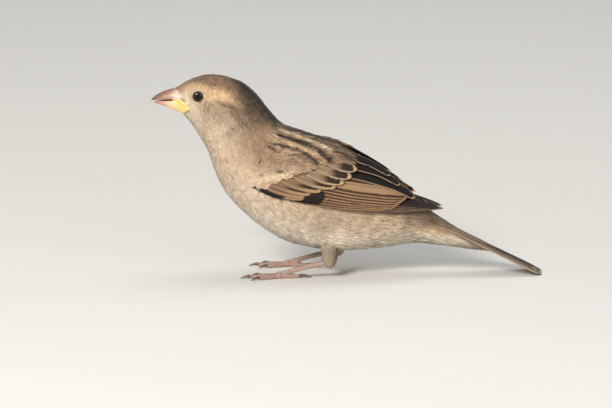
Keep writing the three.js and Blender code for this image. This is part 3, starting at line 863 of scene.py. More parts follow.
def tractRoots(surface, first, last, sizeAt, seed):
    # rows across the lie of the coat, each feather between two of the row before
    random = np.random.default_rng(seed)
    fine = np.linspace(first, last, coat["samples"])
    step = np.interp(fine, np.linspace(0, 1, surface.rows), surface.alongSize.mean(1)) * (fine[1] - fine[0])
    gaps = sizeAt(fine)[:, 0] * coat["rowGap"]
    rows = np.interp(np.arange(0, (step / gaps).sum()), np.cumsum(step / gaps), fine)
    lines = np.linspace(0, 1, surface.columns + surface.wraps)
    found = []
    for index, t in enumerate(rows):
        size = surface.read(surface.acrossSize, np.full(len(lines), t), lines)
        run = np.concatenate([[0], np.cumsum((size[1:] + size[:-1]) / 2 * np.diff(lines))])
        count = max(3, int(run[-1] / (sizeAt(t)[1] * coat["columnGap"])))
        share = np.arange(count) + 0.5 * (index % 2) + random.uniform(-coat["aside"], coat["aside"], count)
        c = np.interp(share / count % 1.0, run / run[-1], lines)
        drift = random.uniform(-coat["drift"], coat["drift"], count) * gaps.mean()
        local = surface.read(surface.alongSize, np.full(count, t), c)
        kept = random.uniform(size=count) < np.clip(local / local.mean() * coat["thinned"], 0, 1)
        found.append(np.stack([t + drift / local, c], axis=1)[kept])
    roots = np.vstack(found)
    return roots[(roots[:, 0] > first) & (roots[:, 0] < last)]


def growTufts(surface, roots, tuft, kind, seed):
    # tuft holds an array for each of: length, width, depth (skin to outline), yaw, lift
    # and, where the whole feather stands off its surface, stand
    random = np.random.default_rng(seed)
    tuft = {key: values[:, None, None] for key, values in tuft.items()}
    shares = np.array(kind["shares"])
    locks = kind["locks"]
    count = len(roots)

    def within(low, high):
        return random.uniform(low, high, (count, locks))[..., None]

    def about(amount):
        return random.normal(0, amount, (count, locks))[..., None]

    q = np.linspace(-1, 1, locks)[None, :, None] + within(-lock["aside"], lock["aside"]) / locks
    run = tuft["length"] * (1 - lock["shorter"] * q ** 2) * within(*lock["lengths"]) * shares
    half = 0.5 * tuft["width"] / locks * kind["fill"] * within(*lock["widths"])
    half = half * np.interp(shares, *lock["profile"])
    opened = np.sin(shares * math.pi / 2)  # the locks rise and part quickly, then run straight
    aside = 0.5 * tuft["width"] * q * opened ** 0.8 + about(lock["stray"]) * tuft["width"] * shares ** 2
    depth = tuft["depth"]
    rise = depth * (lock["rooted"] + (1 - lock["rooted"]) * opened ** 0.85)
    rise = rise * (1 + random.normal(0, lock["uneven"], count))[:, None, None]
    rise = rise - depth * lock["droop"] * q ** 2 * shares + about(lock["loose"]) * depth * shares
    rise = rise + tuft["lift"] * shares ** 1.5
    roll = about(lock["roll"]) * half
    run = np.stack([run, run], axis=-1)
    aside = np.stack([aside - half, aside + half], axis=-1)
    rise = np.stack([rise - roll, rise + roll], axis=-1)
    keep = np.arange(len(shares) * 2)[:-1]  # the last pair is one point, the tip
    run, aside, rise = (values.reshape(count, locks, -1)[..., keep] for values in (run, aside, rise))
    cos = np.cos(tuft["yaw"])
    sin = np.sin(tuft["yaw"])
    forward = run * cos - aside * sin
    sideways = run * sin + aside * cos
    t0 = roots[:, 0][:, None, None]
    c0 = roots[:, 1][:, None, None]
    t = t0 + forward / surface.read(surface.alongSize, roots[:, 0], roots[:, 1])[:, None, None]
    t = t0 + forward / surface.read(surface.alongSize, np.clip((t + t0) / 2, 0, 1), c0 + t * 0)
    c = c0 + sideways / np.maximum(surface.read(surface.acrossSize, np.clip(t, 0, 1), c0 + t * 0), 2)
    base = surface.at(t, c)
    outward = unit(surface.read(surface.outward, t, c))
    points = base + outward * (rise - depth)[..., None]
    if "stand" in tuft:
        normal = unit(surface.read(surface.outward, roots[:, 0], roots[:, 1]))
        points = points + normal[:, None, None] * tuft["stand"][..., None]
    return {"points": points, "base": base, "share": run / tuft["length"], "q": q, "roots": roots}


def tuftFaces(count, locks, points):  # quads up each lock and a triangle at its tip
    start = (np.arange(count * locks) * points)[:, None]
    quads = []
    for k in range(0, points - 3, 2):
        quads.append(start + np.array([k, k + 1, k + 3, k + 2])[None, :])
    tips = start + np.array([points - 3, points - 2, points - 1])[None, :]
    return [np.vstack(quads), tips]


def coatPieces(name, slot, grown, seed, shading=None):
    random = np.random.default_rng(seed)
    count, locks, size = grown["points"].shape[:3]
    share = grown["share"]
    amount = mottling(grown["base"][:, locks // 2, -1])[:, None, None]

    def uneven(key, shape):
        even, mottled = tinting[key]
        return 1 + random.normal(0, 1, shape) * (even + mottled * amount)

    tint = uneven("feather", (count, 1, 1))
    tint = tint * uneven("lock", (count, locks, 1))
    # each lock is darker near the skin: partly the feather's grey down, partly painted shade between the
    # tufts
    root = tinting["root"]
    tint = tint * (root + (1 - root) * smooth(0.05, 0.62, share) + tinting["tip"] * smooth(0.75, 1, share))
    shaft = np.exp(-(grown["q"] / tinting["shaft"]) ** 2)
    tint = tint * (1 - amount * shaft * (1 - 0.6 * smooth(0.8, 1, share)))
    late = size // 2 + 1
    colours = np.empty(grown["points"].shape)
    colours[:, :, :late] = markings(grown["base"][:, :, late - 2])[:, :, None]
    colours[:, :, late:] = markings(grown["base"][:, :, -1])[:, :, None]
    if shading is not None:
        colours = shading(colours, grown)
    colours = colours * np.clip(tint, *tinting["range"])[..., None]
    # each feather has its own small patch of the bake map
    lane = (np.arange(locks)[:, None] + np.arange(size) % 2) / locks - 0.5
    uv = np.stack(np.broadcast_arrays(
        grown["roots"][:, 1][:, None, None] % 1 + coat["patch"] * lane,
        grown["roots"][:, 0][:, None, None] + coat["patch"] * (share - 0.5)), axis=-1)
    uv = 0.01 + 0.98 * uv
    triangles = locks * (size - 2)
    parts = max(1, math.ceil(count * triangles / coat["limit"]))
    for part in range(parts):
        chosen = slice(count * part // parts, count * (part + 1) // parts)
        points = grown["points"][chosen]
        faces = tuftFaces(len(points), locks, size)
        maps = {"OFBake": uv[chosen].reshape(-1, 2)}
        label = name if parts == 1 else f"{name}_{part + 1}"
        shades = colours[chosen].reshape(-1, 3)
        settle(meshPiece(label, points.reshape(-1, 3), faces, coatPaint, shades, maps, flat=True), slot)
    print(name + ":", count, "feathers,", count * triangles, "triangles in", parts)


def makeTract(name, slot, surface, roots, tuft, kind, seeds, index=0, shading=None):
    grown = growTufts(surface, roots, tuft, fan[kind], seeds["locks"] + index)
    coatPieces(name, slot, grown, seeds["tints"] + index, shading)


eyeLow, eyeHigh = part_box("eye_left")
eyeMiddle = np.array((eyeLow + eyeHigh) / 2) / mm
eyeRadius = (eyeHigh.z - eyeLow.z) / 2 / mm


bodyCoat = {
    "from": 0.004, "to": 0.985,  # shares of the body's length
    # the folded wing covers the body between these in x, and this far inside its low, high and inner edge
    "wing": {"from": -34, "to": 37, "low": 0.6, "high": 1.2, "inner": 1},
    "eyeBare": 2.4, "eyeShort": 0.85, "eyeGrow": 0.5, "eyeNear": 7,  # short feathers round the eye
    "turn": 2.2, "turned": 9,  # how wide and how far out the lie turns round the eye
    "front": (-43, -33, -32.6),  # feathers between the first two end at the third, before the wing
    "lengths": (0.88, 1.12), "widths": (0.9, 1.1), "yaw": 6.0, "lift": 0.05,
    "seeds": {"roots": 3, "sizes": 5, "locks": 11, "tints": 21},
    "bands": [  # name, slot, fan, first and last station
        ("coat_head", "crown", "short", 0, 5.2),
        ("coat_neck", "plumage", "middle", 5.2, 8.2),
        ("coat_body", "plumage", "long", 8.2, 19),
    ],
}


def eyeDistance(x, z):
    return np.hypot(x - eyeMiddle[0], z - eyeMiddle[2])


def bodyYaw(roots, places):  # the lie turns round the eye, as water does round a post
    down = np.where(roots[:, 1] < 0.5, 1.0, -1.0)
    far = eyeDistance(places[:, 0], places[:, 2])
    pull = (bodyCoat["turn"] / np.maximum(far, bodyCoat["turn"])) ** 2
    angle = 2 * np.arctan2(places[:, 2] - eyeMiddle[2], places[:, 0] - eyeMiddle[0])
    bend = np.arctan2(-pull * np.sin(angle), 1 - pull * np.cos(angle))
    return -down * bend * (far < bodyCoat["turned"])


def bareOnBody(places):  # nothing grows under the folded wing, on the eyes, on the gape or on the bill
    x, y, z = places.T
    side = np.abs(y)
    line = wingLine(wingShare(x))
    wing = bodyCoat["wing"]
    inWing = (x > wing["from"]) & (x < wing["to"]) & (side > line[:, 3] - wing["inner"])
    inWing &= (z > line[:, 2] + wing["low"]) & (z < line[:, 4] - wing["high"])
    onEye = (eyeDistance(x, z) < bodyCoat["eyeBare"]) & (side > 3)
    gapeX, gapeTop, gapeLow, _ = np.array(bill["gape"]).T
    onGape = (side > 2) & (x < -59.4) & (z < np.interp(x, gapeX, gapeTop) - 0.1)
    onGape &= z > np.interp(x, gapeX, gapeLow) + 0.1
    edgeX, edgeZ = bill["edge"]
    onBill = (z > 66) & (x < np.interp(z, edgeZ, edgeX))
    return inWing | onEye | onGape | onBill


def makeBodyCoat():
    surface = bodySurface
    seeds = bodyCoat["seeds"]
    roots = tractRoots(surface, bodyCoat["from"], bodyCoat["to"], featherSize, seeds["roots"])
    roots = roots[~bareOnBody(surface.at(roots[:, 0], roots[:, 1]))]
    places = surface.at(roots[:, 0], roots[:, 1])
    x, y, z = places.T
    side = np.abs(y)
    far = eyeDistance(x, z)
    lowEdge = wingLine(wingShare(x))[:, 2]
    size = featherSize(roots[:, 0])
    random = np.random.default_rng(seeds["sizes"])
    length = size[:, 0] * random.uniform(*bodyCoat["lengths"], len(roots))
    nearEye = (side > 3) & (far < bodyCoat["eyeNear"])
    short = bodyCoat["eyeShort"] + bodyCoat["eyeGrow"] * (far - bodyCoat["eyeBare"])
    length = np.where(nearEye, np.minimum(length, short), length)
    first, last, end = bodyCoat["front"]
    atFront = (x > first) & (x < last) & (z > lowEdge + 1) & (z < 50)
    length = np.where(atFront, np.clip(end - x, 1.6, length), length)
    width = size[:, 1] * random.uniform(*bodyCoat["widths"], len(roots))
    depth = coatDepth(roots[:, 0])[:, 0]
    depth = np.where(nearEye, depth * np.clip((far - 1.6) / 3.6, 0.3, 1), depth)
    # feathers stand off a little below the wing, over the thighs and over the tail's root
    underWing = np.exp(-((lowEdge - z) / 3.0) ** 2) * (z < lowEdge + 1) * (x > -38) * (x < -14)
    overThigh = np.exp(-((x + 5) / 6) ** 2 - ((z - 14.5) / 2.4) ** 2) * (side > 7)
    overTail = smooth(38, 48, x) * (np.cos(roots[:, 1] * 2 * math.pi) > 0.2)
    stray = np.abs(random.normal(0, bodyCoat["lift"], len(roots)))
    whole = {
        "length": length * (1 + 0.9 * smooth(42, 50, x) * np.exp(-(y / 2.2) ** 2) + 0.3 * overThigh),
        "width": width,
        "depth": depth,
        "yaw": np.radians(random.normal(0, bodyCoat["yaw"], len(roots))) + bodyYaw(roots, places),
        "lift": underWing + overThigh + 0.9 * overTail + stray,
    }
    station = roots[:, 0] * (len(body["stations"]) - 1)
    for index, (name, slot, kind, first, last) in enumerate(bodyCoat["bands"]):
        chosen = (station >= first) & (station < last)
        tuft = {key: values[chosen] for key, values in whole.items()}
        makeTract(name, slot, surface, roots[chosen], tuft, kind, seeds, index)


thighCoat = {
    "from": 0.02, "to": 0.72, "size": (2.6, 1.7),
    "tuft": {"length": (3.4, 5.2), "width": (1.3, 1.9), "depth": 0.45, "yaw": 8, "lift": 0.1},
    "ahead": [17.8, 11.3, 6.5, 3.5, 1.8, 0.9],  # room for a feather, from the belly down to the cuff
    "high": (6.5, 11.5, 0.22),  # shade under the belly: where it begins and is full, and how deep it is
    "rear": (-0.5, 3.5, 0.28),  # and the same on the rear side, in x behind the thigh's middle
    "middle": 6.2,
    "seeds": {"roots": 31, "sizes": 33, "locks": 35, "tints": 37},
}
nasalCoat = {
    "from": 0.02, "to": 0.5, "size": (1.0, 0.7),
    "rows": [  # from the forehead forward: x, half width, top and low edge
        [-60.6, 5.0, 72.4, 66.8],
        [-62.4, 4.3, 71.5, 67.2],
        [-64.2, 3.75, 71.3, 67.3],
        [-66.0, 3.2, 70.7, 67.2],
    ],
    "tuft": {"length": (1.1, 1.5), "width": (0.6, 0.9), "depth": 0.22, "yaw": 9, "lift": 0.05},
    "seeds": {"roots": 91, "sizes": 93, "locks": 95, "tints": 97},
}


def evenSize(length, width):  # the same size at every place
    return lambda t: np.stack([t * 0 + length, t * 0 + width], axis=-1)


def looseTufts(count, seed, length, width, depth, yaw, lift):  # yaw and lift are how far they stray
    random = np.random.default_rng(seed)
    return {
        "length": random.uniform(*length, count),
        "width": random.uniform(*width, count),
        "depth": np.full(count, float(depth)),
        "yaw": np.radians(random.normal(0, yaw, count)),
        "lift": np.abs(random.normal(0, lift, count)),
    }


# painted shade on the thigh's feathers: under the belly's overhang and on the rear side, away from the light
def thighShade(colours, grown):  # darker where it leaves the belly, and on its rear side
    x, y, z = grown["base"].mean((1, 2)).T
    x = x + thighCoat["middle"] - thigh["stride"]["right"] * (y > 0)
    shade = 1
    for place, (start, full, depth) in ((z, thighCoat["high"]), (x, thighCoat["rear"])):
        shade = shade - depth * smooth(start, full, place)
    return colours * shade[:, None, None, None]


def makeThighCoat():
    seeds = thighCoat["seeds"]
    for index, name in enumerate(sides):
        surface = thighSurface(name, thigh["stations"] + thigh["cuff"])
        size = evenSize(*thighCoat["size"])
        roots = tractRoots(surface, thighCoat["from"], thighCoat["to"], size, seeds["roots"] + index)
        tuft = looseTufts(len(roots), seeds["sizes"] + index, **thighCoat["tuft"])
        ahead = np.interp(roots[:, 0], np.linspace(0, 1, 6), thighCoat["ahead"])
        tuft["length"] = np.minimum(tuft["length"], ahead)  # none reaches past the heel
        makeTract(f"coat_thigh_{name}", "plumage", surface, roots, tuft, "middle", seeds, index, thighShade)


def makeNasalCoat():  # short feathers that point forward from the forehead over the base of the bill
    rows = curveOf(nasalCoat["rows"])

    def place(t, c):
        x, wide, top, low = np.moveaxis(rows(t), -1, 0)
        turn = math.pi * c
        return np.stack([x, wide * np.cos(turn), low + (top - low) * np.sin(turn) ** 0.85], axis=-1)

    seeds = nasalCoat["seeds"]
    size = evenSize(*nasalCoat["size"])
    surface = Surface(60, 60, place, False)
    roots = tractRoots(surface, nasalCoat["from"], nasalCoat["to"], size, seeds["roots"])
    high = np.sin(math.pi * roots[:, 1])
    # they reach furthest forward along the ridge
    roots = roots[roots[:, 0] < 0.08 + 0.44 * np.clip((high - 0.4) / 0.6, 0, 1)]
    tuft = looseTufts(len(roots), seeds["sizes"], **nasalCoat["tuft"])
    makeTract("coat_nasal", "crown", surface, roots, tuft, "short", seeds)


makeBodyCoat()
makeThighCoat()
makeNasalCoat()


# Large feathers: closed thin vanes with a raised shaft, made one by one and joined in groups

def makeVanePaint():
    # the feather's own map runs across it in x and from root to tip in y
    paint = Paint("flight feathers", Roughness=0.6, Specular_IOR_Level=0.22)
    x, y, _ = paint.axes(paint.node("ShaderNodeUVMap", {"uv_map": "feather"}, {}))
    low, high, end = paint.axes(paint.attribute("fringe"))
    shine = paint.attribute("fringe", "Alpha")
    taper = paint.attribute("outer", "Alpha")
    across = x * 2 - 1
    aside = abs(across)
    barbs = paint.joined(y * 46 - aside * 16, x * 3, shine * 90)
    barb = paint.noise(barbs, 2.2, 3.0)
    wander = (barb - 0.5) * 0.16
    narrowed = across * (1 + (1 - y) * taper)
    lowEdge = (wander - narrowed).step(0.94 - low, 1.06 - low)
    highEdge = (wander + narrowed).step(0.94 - high, 1.06 - high)
    tipEdge = (y + aside * aside * 0.05 + wander * 0.3).step(0.98 - end, 1.0 - end)
    rim = lowEdge.most(highEdge).most(tipEdge)
    fade = paint.attribute("inner", "Alpha")
    root = paint.mix(0.18, paint.attribute("outer"), paint.attribute("inner"))
    centre = paint.mix((y + wander).step(fade - 0.14, fade + 0.12), root, paint.attribute("inner"))
    colour = paint.mix(rim, centre, paint.attribute("outer"))
    fine = paint.mix(barb, tone(176, 172, 168), tone(255, 255, 255))
    colour = paint.multiplied(0.75, colour, fine)
    lengthwise = paint.noise(paint.joined(y * 3, x * 16, shine * 70), 1.0)
    colour = paint.multiplied(0.6, colour, paint.mix(lengthwise, tone(150, 140, 132), tone(255, 255, 255)))
    shaft = 1 - (aside - wander * 0.1).step(0.03, 0.07)
    colour = paint.mix(shaft * 0.45, colour, tone(58, 44, 34))
    ribs = (y * 520 - aside * 190).wave()
    return paint.finish(colour, barb * 0.25 + 0.5, paint.bump(ribs * 0.4 + barb, 0.5, 0.00008))


vanePaint = makeVanePaint()
vaneCut = {
    "rings": 22, "lanes": 9, "thickness": 0.17, "ridge": 0.07, "shaft": 0.08,
    "start": 0.45, "widest": 0.55,  # width at the root, and where along the vane it is full
    "tipRound": 2.3, "thinner": 0.6, "split": 0.16, "splitFrom": 0.82,
    "sink": 1.4, "sunk": 0.13,  # how deep the root goes under the feathers in front, and over what share
}


def vaneShape(mid, across, outward, feather, random):
    # mid, across and outward are rows from root to tip; across points to the feather's high side
    rings = len(mid)
    lanes = vaneCut["lanes"]
    r = np.linspace(0, 1, rings)
    start = feather["start"]
    blunt = feather["blunt"]
    swell = np.sin(np.clip(r / vaneCut["widest"], 0, 1) * math.pi / 2)
    half = feather["wide"] * (start + (1 - start) * swell)
    tip = np.clip((r - 1 + blunt) / blunt, 0, 1) ** vaneCut["tipRound"]
    half = half * np.sqrt(np.clip(1 - tip, 0.0009, 1))
    a = np.linspace(-1, 1, lanes)[None, :]
    spread = np.where(a < 0, 1 - feather["asym"], 1 + feather["asym"]) * half[:, None]
    torn = random.uniform(size=(rings, 2)) > vaneCut["splitFrom"]
    spread[:, [0, -1]] *= 1 - vaneCut["split"] * torn * random.uniform(0.3, 1, (rings, 2))
    height = -feather["camber"] * a ** 2 * (half / feather["wide"])[:, None]
    height = height + feather["tilt"] * a + vaneCut["ridge"] * np.exp(-(a / vaneCut["shaft"]) ** 2)
    top = mid[:, None] + across[:, None] * (a * spread)[..., None] + outward[:, None] * height[..., None]
    thick = vaneCut["thickness"] * (1 - vaneCut["thinner"] * a ** 2) * np.ones((rings, 1))
    under = top - outward[:, None] * thick[..., None]
    # the underside shares the vane's rim, so each feather is closed
    inner = np.zeros((rings, lanes), bool)
    inner[1:-1, 1:-1] = True
    upper = np.arange(rings * lanes).reshape(rings, lanes)
    lower = upper.copy()
    lower[inner] = rings * lanes + np.arange(inner.sum())

    def cells(grid):
        return np.stack([grid[:-1, :-1], grid[1:, :-1], grid[1:, 1:], grid[:-1, 1:]], axis=-1).reshape(-1, 4)

    faces = np.vstack([cells(upper), cells(lower)[:, ::-1]])
    middle = rings // 2
    forward = mid[middle + 1] - mid[middle]
    if np.dot(np.cross(forward, across[middle]), outward[middle]) <= 0:
        faces = faces[:, ::-1]
    local = np.stack(np.broadcast_arrays((a + 1) / 2, r[:, None]), axis=-1)
    points = np.vstack([top.reshape(-1, 3), under[inner]])
    return points, faces, np.vstack([local.reshape(-1, 2), local[inner]])


def sheetShares(x, z):  # the place along and up the wing sheet that shows at x, z from the side
    s = wingShare(x)
    _, lowY, lowZ, highY, highZ, bow = wingLine(s).T
    rise = highZ - lowZ
    lean = (lowY - highY) / np.hypot(rise, lowY - highY)
    u = (z - lowZ) / rise
    for _ in range(4):
        u = (z - lowZ - bow * np.sin(math.pi * np.clip(u, 0, 1)) * lean) / rise
    return s, u


def onSheetVane(surface, side, feather, random):
    # a feather laid on the wing sheet along its path, which runs from root to tip in x, z
    r = np.linspace(0, 1, vaneCut["rings"])
    x, z = curveOf(feather["path"])(r).T
    s, u = sheetShares(x, z)
    low, high = feather["lift"]
    beyond = np.clip(u, 0, 1) - u
    lift = low + (high - low) * r - vaneCut["sink"] * (1 - smooth(0, vaneCut["sunk"], r))
    _, lowY, lowZ, highY, highZ, _ = wingLine(s).T
    edge = np.stack([0 * s, (highY - lowY) * side, highZ - lowZ], axis=-1)
    mid = surface.at(s, u, lift) - edge * beyond[:, None]
    outward = unit(surface.read(surface.outward, s, u))
    forward = unit(np.gradient(mid, axis=0))
    across = unit(np.cross(forward, outward)) * side
    return vaneShape(mid, across, outward, feather, random)


def vanePiece(name, slot, shapes, feathers, *nodes):
    # feathers share one mesh; each has its own cell of the bake map
    columns = math.ceil(math.sqrt(len(shapes) * 3))
    cells = np.array([columns, math.ceil(len(shapes) / columns)])
    maps = {"OFBake": [], "feather": []}
    marks = {"inner": [], "outer": [], "fringe": []}
    faces = []
    start = 0
    for index, ((points, quads, own), feather) in enumerate(zip(shapes, feathers)):
        faces.append(quads + start)
        start += len(points)
        corner = np.array([index % columns, index // columns])
        maps["OFBake"].append((corner + 0.04 + 0.92 * own) / cells)
        maps["feather"].append(own)
        rows = {
            "inner": [*feather["inner"], feather.get("fade", -1)],
            "outer": [*feather["outer"], feather.get("taper", 0)],
            "fringe": [*feather["fringe"], (index * 0.37) % 1.0],
        }
        for key, value in rows.items():
            marks[key].append(np.tile(np.array(value, float), (len(points), 1)))
        # painted shade: darker towards the root, under the feathers in front
        marks["outer"][-1][:, :3] *= 1 - feather.get("rootShade", 0) * (1 - smooth(0.35, 0.85, own[:, 1:]))
    marks = {key: np.vstack(values) for key, values in marks.items()}
    maps = {key: np.vstack(values) for key, values in maps.items()}
    points = np.vstack([shape[0] for shape in shapes])
    piece = meshPiece(name, points, [np.vstack(faces)], vanePaint, None, maps, marks)
    settle(piece, slot, *nodes)


# Groups of the folded wing, from the lowest layer up. Roots and tips run from the lowest feather to the
# highest, as x, z seen from the side, and wide is the half width of the first and the last one.
# lift is the distance out of the sheet at root and tip, step is added for each next feather, and tilt leans
# the high edge out. fringe is its share of the vane on the low side, the high side and at the tip.
# What the two rows of coverts leave out here changes along the row, in covertLook.
wingSeed = 41
wingGroups = {
    "primaries": {
        "count": 7, "roots": [[-20, 31.5], [-4, 33]], "tips": [[25, 26.2], [31, 26.0], [37.2, 25.6]],
        "wide": [2.2, 1.9], "lift": [-1.1, -1.2], "step": 0.1, "asym": 0.3, "blunt": 0.24, "camber": 0.1,
        "inner": (54, 44, 38), "outer": (160, 138, 114), "fringe": (0.2, 0.05, 0.03), "tilt": -0.1,
        "replaces": "primaries",
    },
    "secondaries": {
        "count": 8, "roots": [[-22, 31.6], [-14, 40]], "tips": [[19, 27.6], [21.5, 29.2], [25, 31.6]],
        "wide": [2.2, 3.0], "lift": [-0.45, -0.2], "step": 0.1, "asym": 0.1, "blunt": 0.24, "camber": 0.1,
        "inner": (96, 68, 46), "outer": (202, 162, 120), "fringe": (0.24, 0.04, 0.03), "tilt": -0.2,
        "replaces": "secondaries",
    },
    "tertials": {
        "count": 3,
        "paths": [
            [[-8, 41.5], [2.3, 40.2], [12.9, 36.6], [20.5, 33.2], [26, 29.4]],
            [[-9, 45.5], [1, 43.4], [10, 40.2], [16, 37.0], [20.3, 34.0]],
            [[-9, 49.0], [0, 46.4], [7, 43.4], [12.5, 40.2], [16.5, 37.2]],
        ],
        "wide": [2.7, 2.5], "lift": [0.1, 0.75], "step": 0.22, "asym": -0.05, "blunt": 0.26, "camber": 0.16,
        "inner": (26, 20, 17), "outer": (222, 188, 148), "fringe": (0.17, 0.13, 0.03), "tilt": -0.25,
        "replaces": "tertials",
    },
    "primaryCoverts": {
        "count": 5, "roots": [[-21, 31.8], [-19, 34]], "tips": [[-9.5, 30.6], [-8.3, 32.6]],
        "wide": [1.5, 1.7], "lift": [0.2, 0.35], "step": 0.08, "asym": 0.1, "blunt": 0.2, "camber": 0.14,
        "inner": (40, 31, 28), "outer": (70, 54, 44), "fringe": (0.08, 0.04, 0.02), "tilt": -0.1,
    },
    "alula": {
        "count": 2, "roots": [[-36.2, 36.0], [-35.4, 36.2]], "tips": [[-24.4, 31.9], [-22.6, 32.2]],
        "wide": [0.6, 0.7], "lift": [0.9, 0.85], "step": 0.1, "asym": 0, "blunt": 0.3, "camber": 0.1,
        "inner": (34, 27, 24), "outer": (58, 46, 40), "fringe": (0.06, 0.04, 0.02), "tilt": -0.1,
        "start": 0.12,
    },
    "greaterCoverts": {
        "count": 8,
        "sag": -0.5,
        "roots": [[-34.8, 36.4], [-33, 38.0], [-27, 39.2], [-19, 40.4], [-14, 42.6], [-9.5, 45.4]],
        "tips": [[-15.8, 31.7], [-14.8, 33.0], [-9.8, 34.7], [-3.2, 36.5], [0.8, 38.5], [3.7, 41.4]],
        "wide": [1.5, 2.6], "lift": [0.6, 0.8], "step": 0.08, "asym": 0.05, "blunt": 0.34, "camber": 0.14,
        "inner": (58, 42, 34), "tilt": -0.25,
    },
    "medianCoverts": {
        "count": 8,
        "roots": [[-33, 42], [-30, 43.4], [-26.5, 44.2], [-22, 45.4], [-18, 47], [-14, 48.4]],
        "tips": [[-29.5, 39.2], [-25.5, 39.9], [-21.5, 40.4], [-17, 41], [-12.4, 42], [-7.4, 44]],
        "wide": [2.1, 2.3], "lift": [1.05, 1.3], "step": 0.03, "asym": 0, "blunt": 0.5, "camber": 0.2,
        "tilt": -0.2,
    },
}


def between(first, second, share):
    return tone(*first) + (tone(*second) - tone(*first)) * share


def covertLook(feather, group, share):  # what changes from the lowest feather of a row to the highest
    if group == "greaterCoverts":  # the outer ones warm brown with a dark streak, the inner ones dark ovals
        inward = smooth(0.3, 0.85, share)
        feather["fringe"] = (0.8 - 0.64 * inward, 0.5 - 0.32 * inward, 0.1)
        feather["outer"] = between((192, 154, 116), (226, 192, 152), inward)
        feather["fade"] = 0.5  # where along the feather its dark centre begins
        feather["taper"] = 0.8
        feather["rootShade"] = 0.34
    if group == "medianCoverts":  # the outer ones make a cream bar, the inner ones hardly show
        feather["outer"] = between((190, 156, 120), (246, 230, 204), 1 - smooth(0.3, 0.6, share))
        feather["inner"] = tone(172, 140, 108)
        feather["fringe"] = (0.3, 0.3, 0.3 - 0.12 * share)
        feather["fade"] = 0.5


def featherPath(look, index, share, random):
    if "paths" in look:
        return look["paths"][index]
    root = curveOf(look["roots"])(np.array(share))
    tip = curveOf(look["tips"])(np.array(share)) + random.uniform(-0.3, 0.3, 2) * (1, 0.3)
    return [root, root + (tip - root) * 0.5 + (0, look.get("sag", 0)), tip]


def makeWing(name, side):
    for group, look in wingGroups.items():
        random = np.random.default_rng(wingSeed + len(group))
        feathers = []
        shapes = []
        last = look["count"] - 1
        for index in range(look["count"]):
            share = index / last
            feather = {key: look[key] for key in ("asym", "blunt", "camber", "tilt")}
            feather["path"] = featherPath(look, index, share, random)
            tint = random.uniform(0.9, 1.1)
            feather["start"] = look.get("start", vaneCut["start"])
            feather["wide"] = look["wide"][0] + (look["wide"][1] - look["wide"][0]) * share
            feather["lift"] = [lift + look["step"] * index for lift in look["lift"]]
            if "inner" in look:
                feather["inner"] = tone(*look["inner"]) * tint
            if "outer" in look:
                feather["outer"] = tone(*look["outer"]) * tint
                feather["fringe"] = look["fringe"]
            covertLook(feather, group, share)
            if group == "secondaries" and index == last:
                feather["fringe"] = (1.3, 0.1, 0.05)  # the innermost one has a broad warm outer web
            feathers.append(feather)
            shapes.append(onSheetVane(wingSurfaces[name], side, feather, random))
        nodes = [f"wing_{name}_{look['replaces']}"] if "replaces" in look else []
        vanePiece(f"{group}_{name}", "wing", shapes, feathers, *nodes)


shoulderCoat = {
    "sizes": [[3.4, 2.4], [4.4, 3.0], [6.0, 3.4], [7.2, 3.4]],  # length and width, from front to back
    "from": 0.012,
    "to": -1.5,  # in x
    "tuft": {"length": (0.88, 1.15), "width": (0.9, 1.15), "depth": 0.9, "yaw": 4, "lift": 0.1},
    "edge": ([-36, -30, -22, -14, -6, 0], [0.1, 0.34, 0.5, 0.63, 0.76, 0.85]),  # low edge on the sheet, by x
    "flat": 0.62,  # how much flatter the feathers lie at the edge
    "turn": 0.14,  # how far the lie turns up, in radians
    "stand": 1.75,  # height over the sheet, and how much lower at the back line, in front and at the edge
    "lower": (1.1, 0.7, 0.4),
    "seeds": {"roots": 51, "sizes": 53, "locks": 55, "tints": 57},
}


def makeShoulderCoat(name, side, index):
    # lesser coverts in front, and the scapulars along the upper edge, over the roots of the large feathers
    surface = wingSurfaces[name]
    seeds = shoulderCoat["seeds"]
    sizeAt = curveOf(shoulderCoat["sizes"])
    reach = wingShare(shoulderCoat["to"])
    start = shoulderCoat["from"]
    roots = tractRoots(surface, start, reach, lambda t: sizeAt(t / reach), seeds["roots"] + index)
    above = roots[:, 1] - np.interp(surface.at(roots[:, 0], roots[:, 1])[:, 0], *shoulderCoat["edge"])
    kept = (above > 0) & (roots[:, 1] < 1.0)
    roots = roots[kept]
    above = above[kept]
    behind = smooth(0, 0.12, roots[:, 0])
    edge = 1 - smooth(0, 0.14, above) * (0.5 + 0.5 * behind)
    size = sizeAt(roots[:, 0] / reach)
    tuft = looseTufts(len(roots), seeds["sizes"] + index, **shoulderCoat["tuft"])
    tuft["length"] *= size[:, 0]
    tuft["width"] *= size[:, 1]
    tuft["depth"] -= shoulderCoat["flat"] * edge
    tuft["yaw"] += side * shoulderCoat["turn"]
    tuft["lift"] *= 1 - edge
    top, front, low = shoulderCoat["lower"]
    stand = shoulderCoat["stand"] - top * smooth(0.8, 1.0, roots[:, 1]) - front * (1 - behind)
    tuft["stand"] = stand - low * (1 - smooth(0, 0.12, above))
    makeTract(f"coat_shoulder_{name}", "wing", surface, roots, tuft, "middle", seeds, index)


for index, (name, side) in enumerate(sides.items()):
    makeWing(name, side)
    makeShoulderCoat(name, side, index)
print("wings:", ", ".join(wingGroups))


# Tail: six pairs of feathers, the middle pair on top

tail = {
    "pairs": 6, "root": (24, 25.2), "tip": (72.46, 1.7), "longer": 0.9, "notch": 1.1,
    "fan": 0.62, "spread": 0.42, "drop": 0.15, "arch": 0.05, "stagger": 0.05, "over": 0.25,
    "wide": (2.2, 3.2), "blunt": 0.14, "camber": 0.22, "inner": (84, 71, 60), "outer": (186, 168, 144),
    "seed": 61,
}


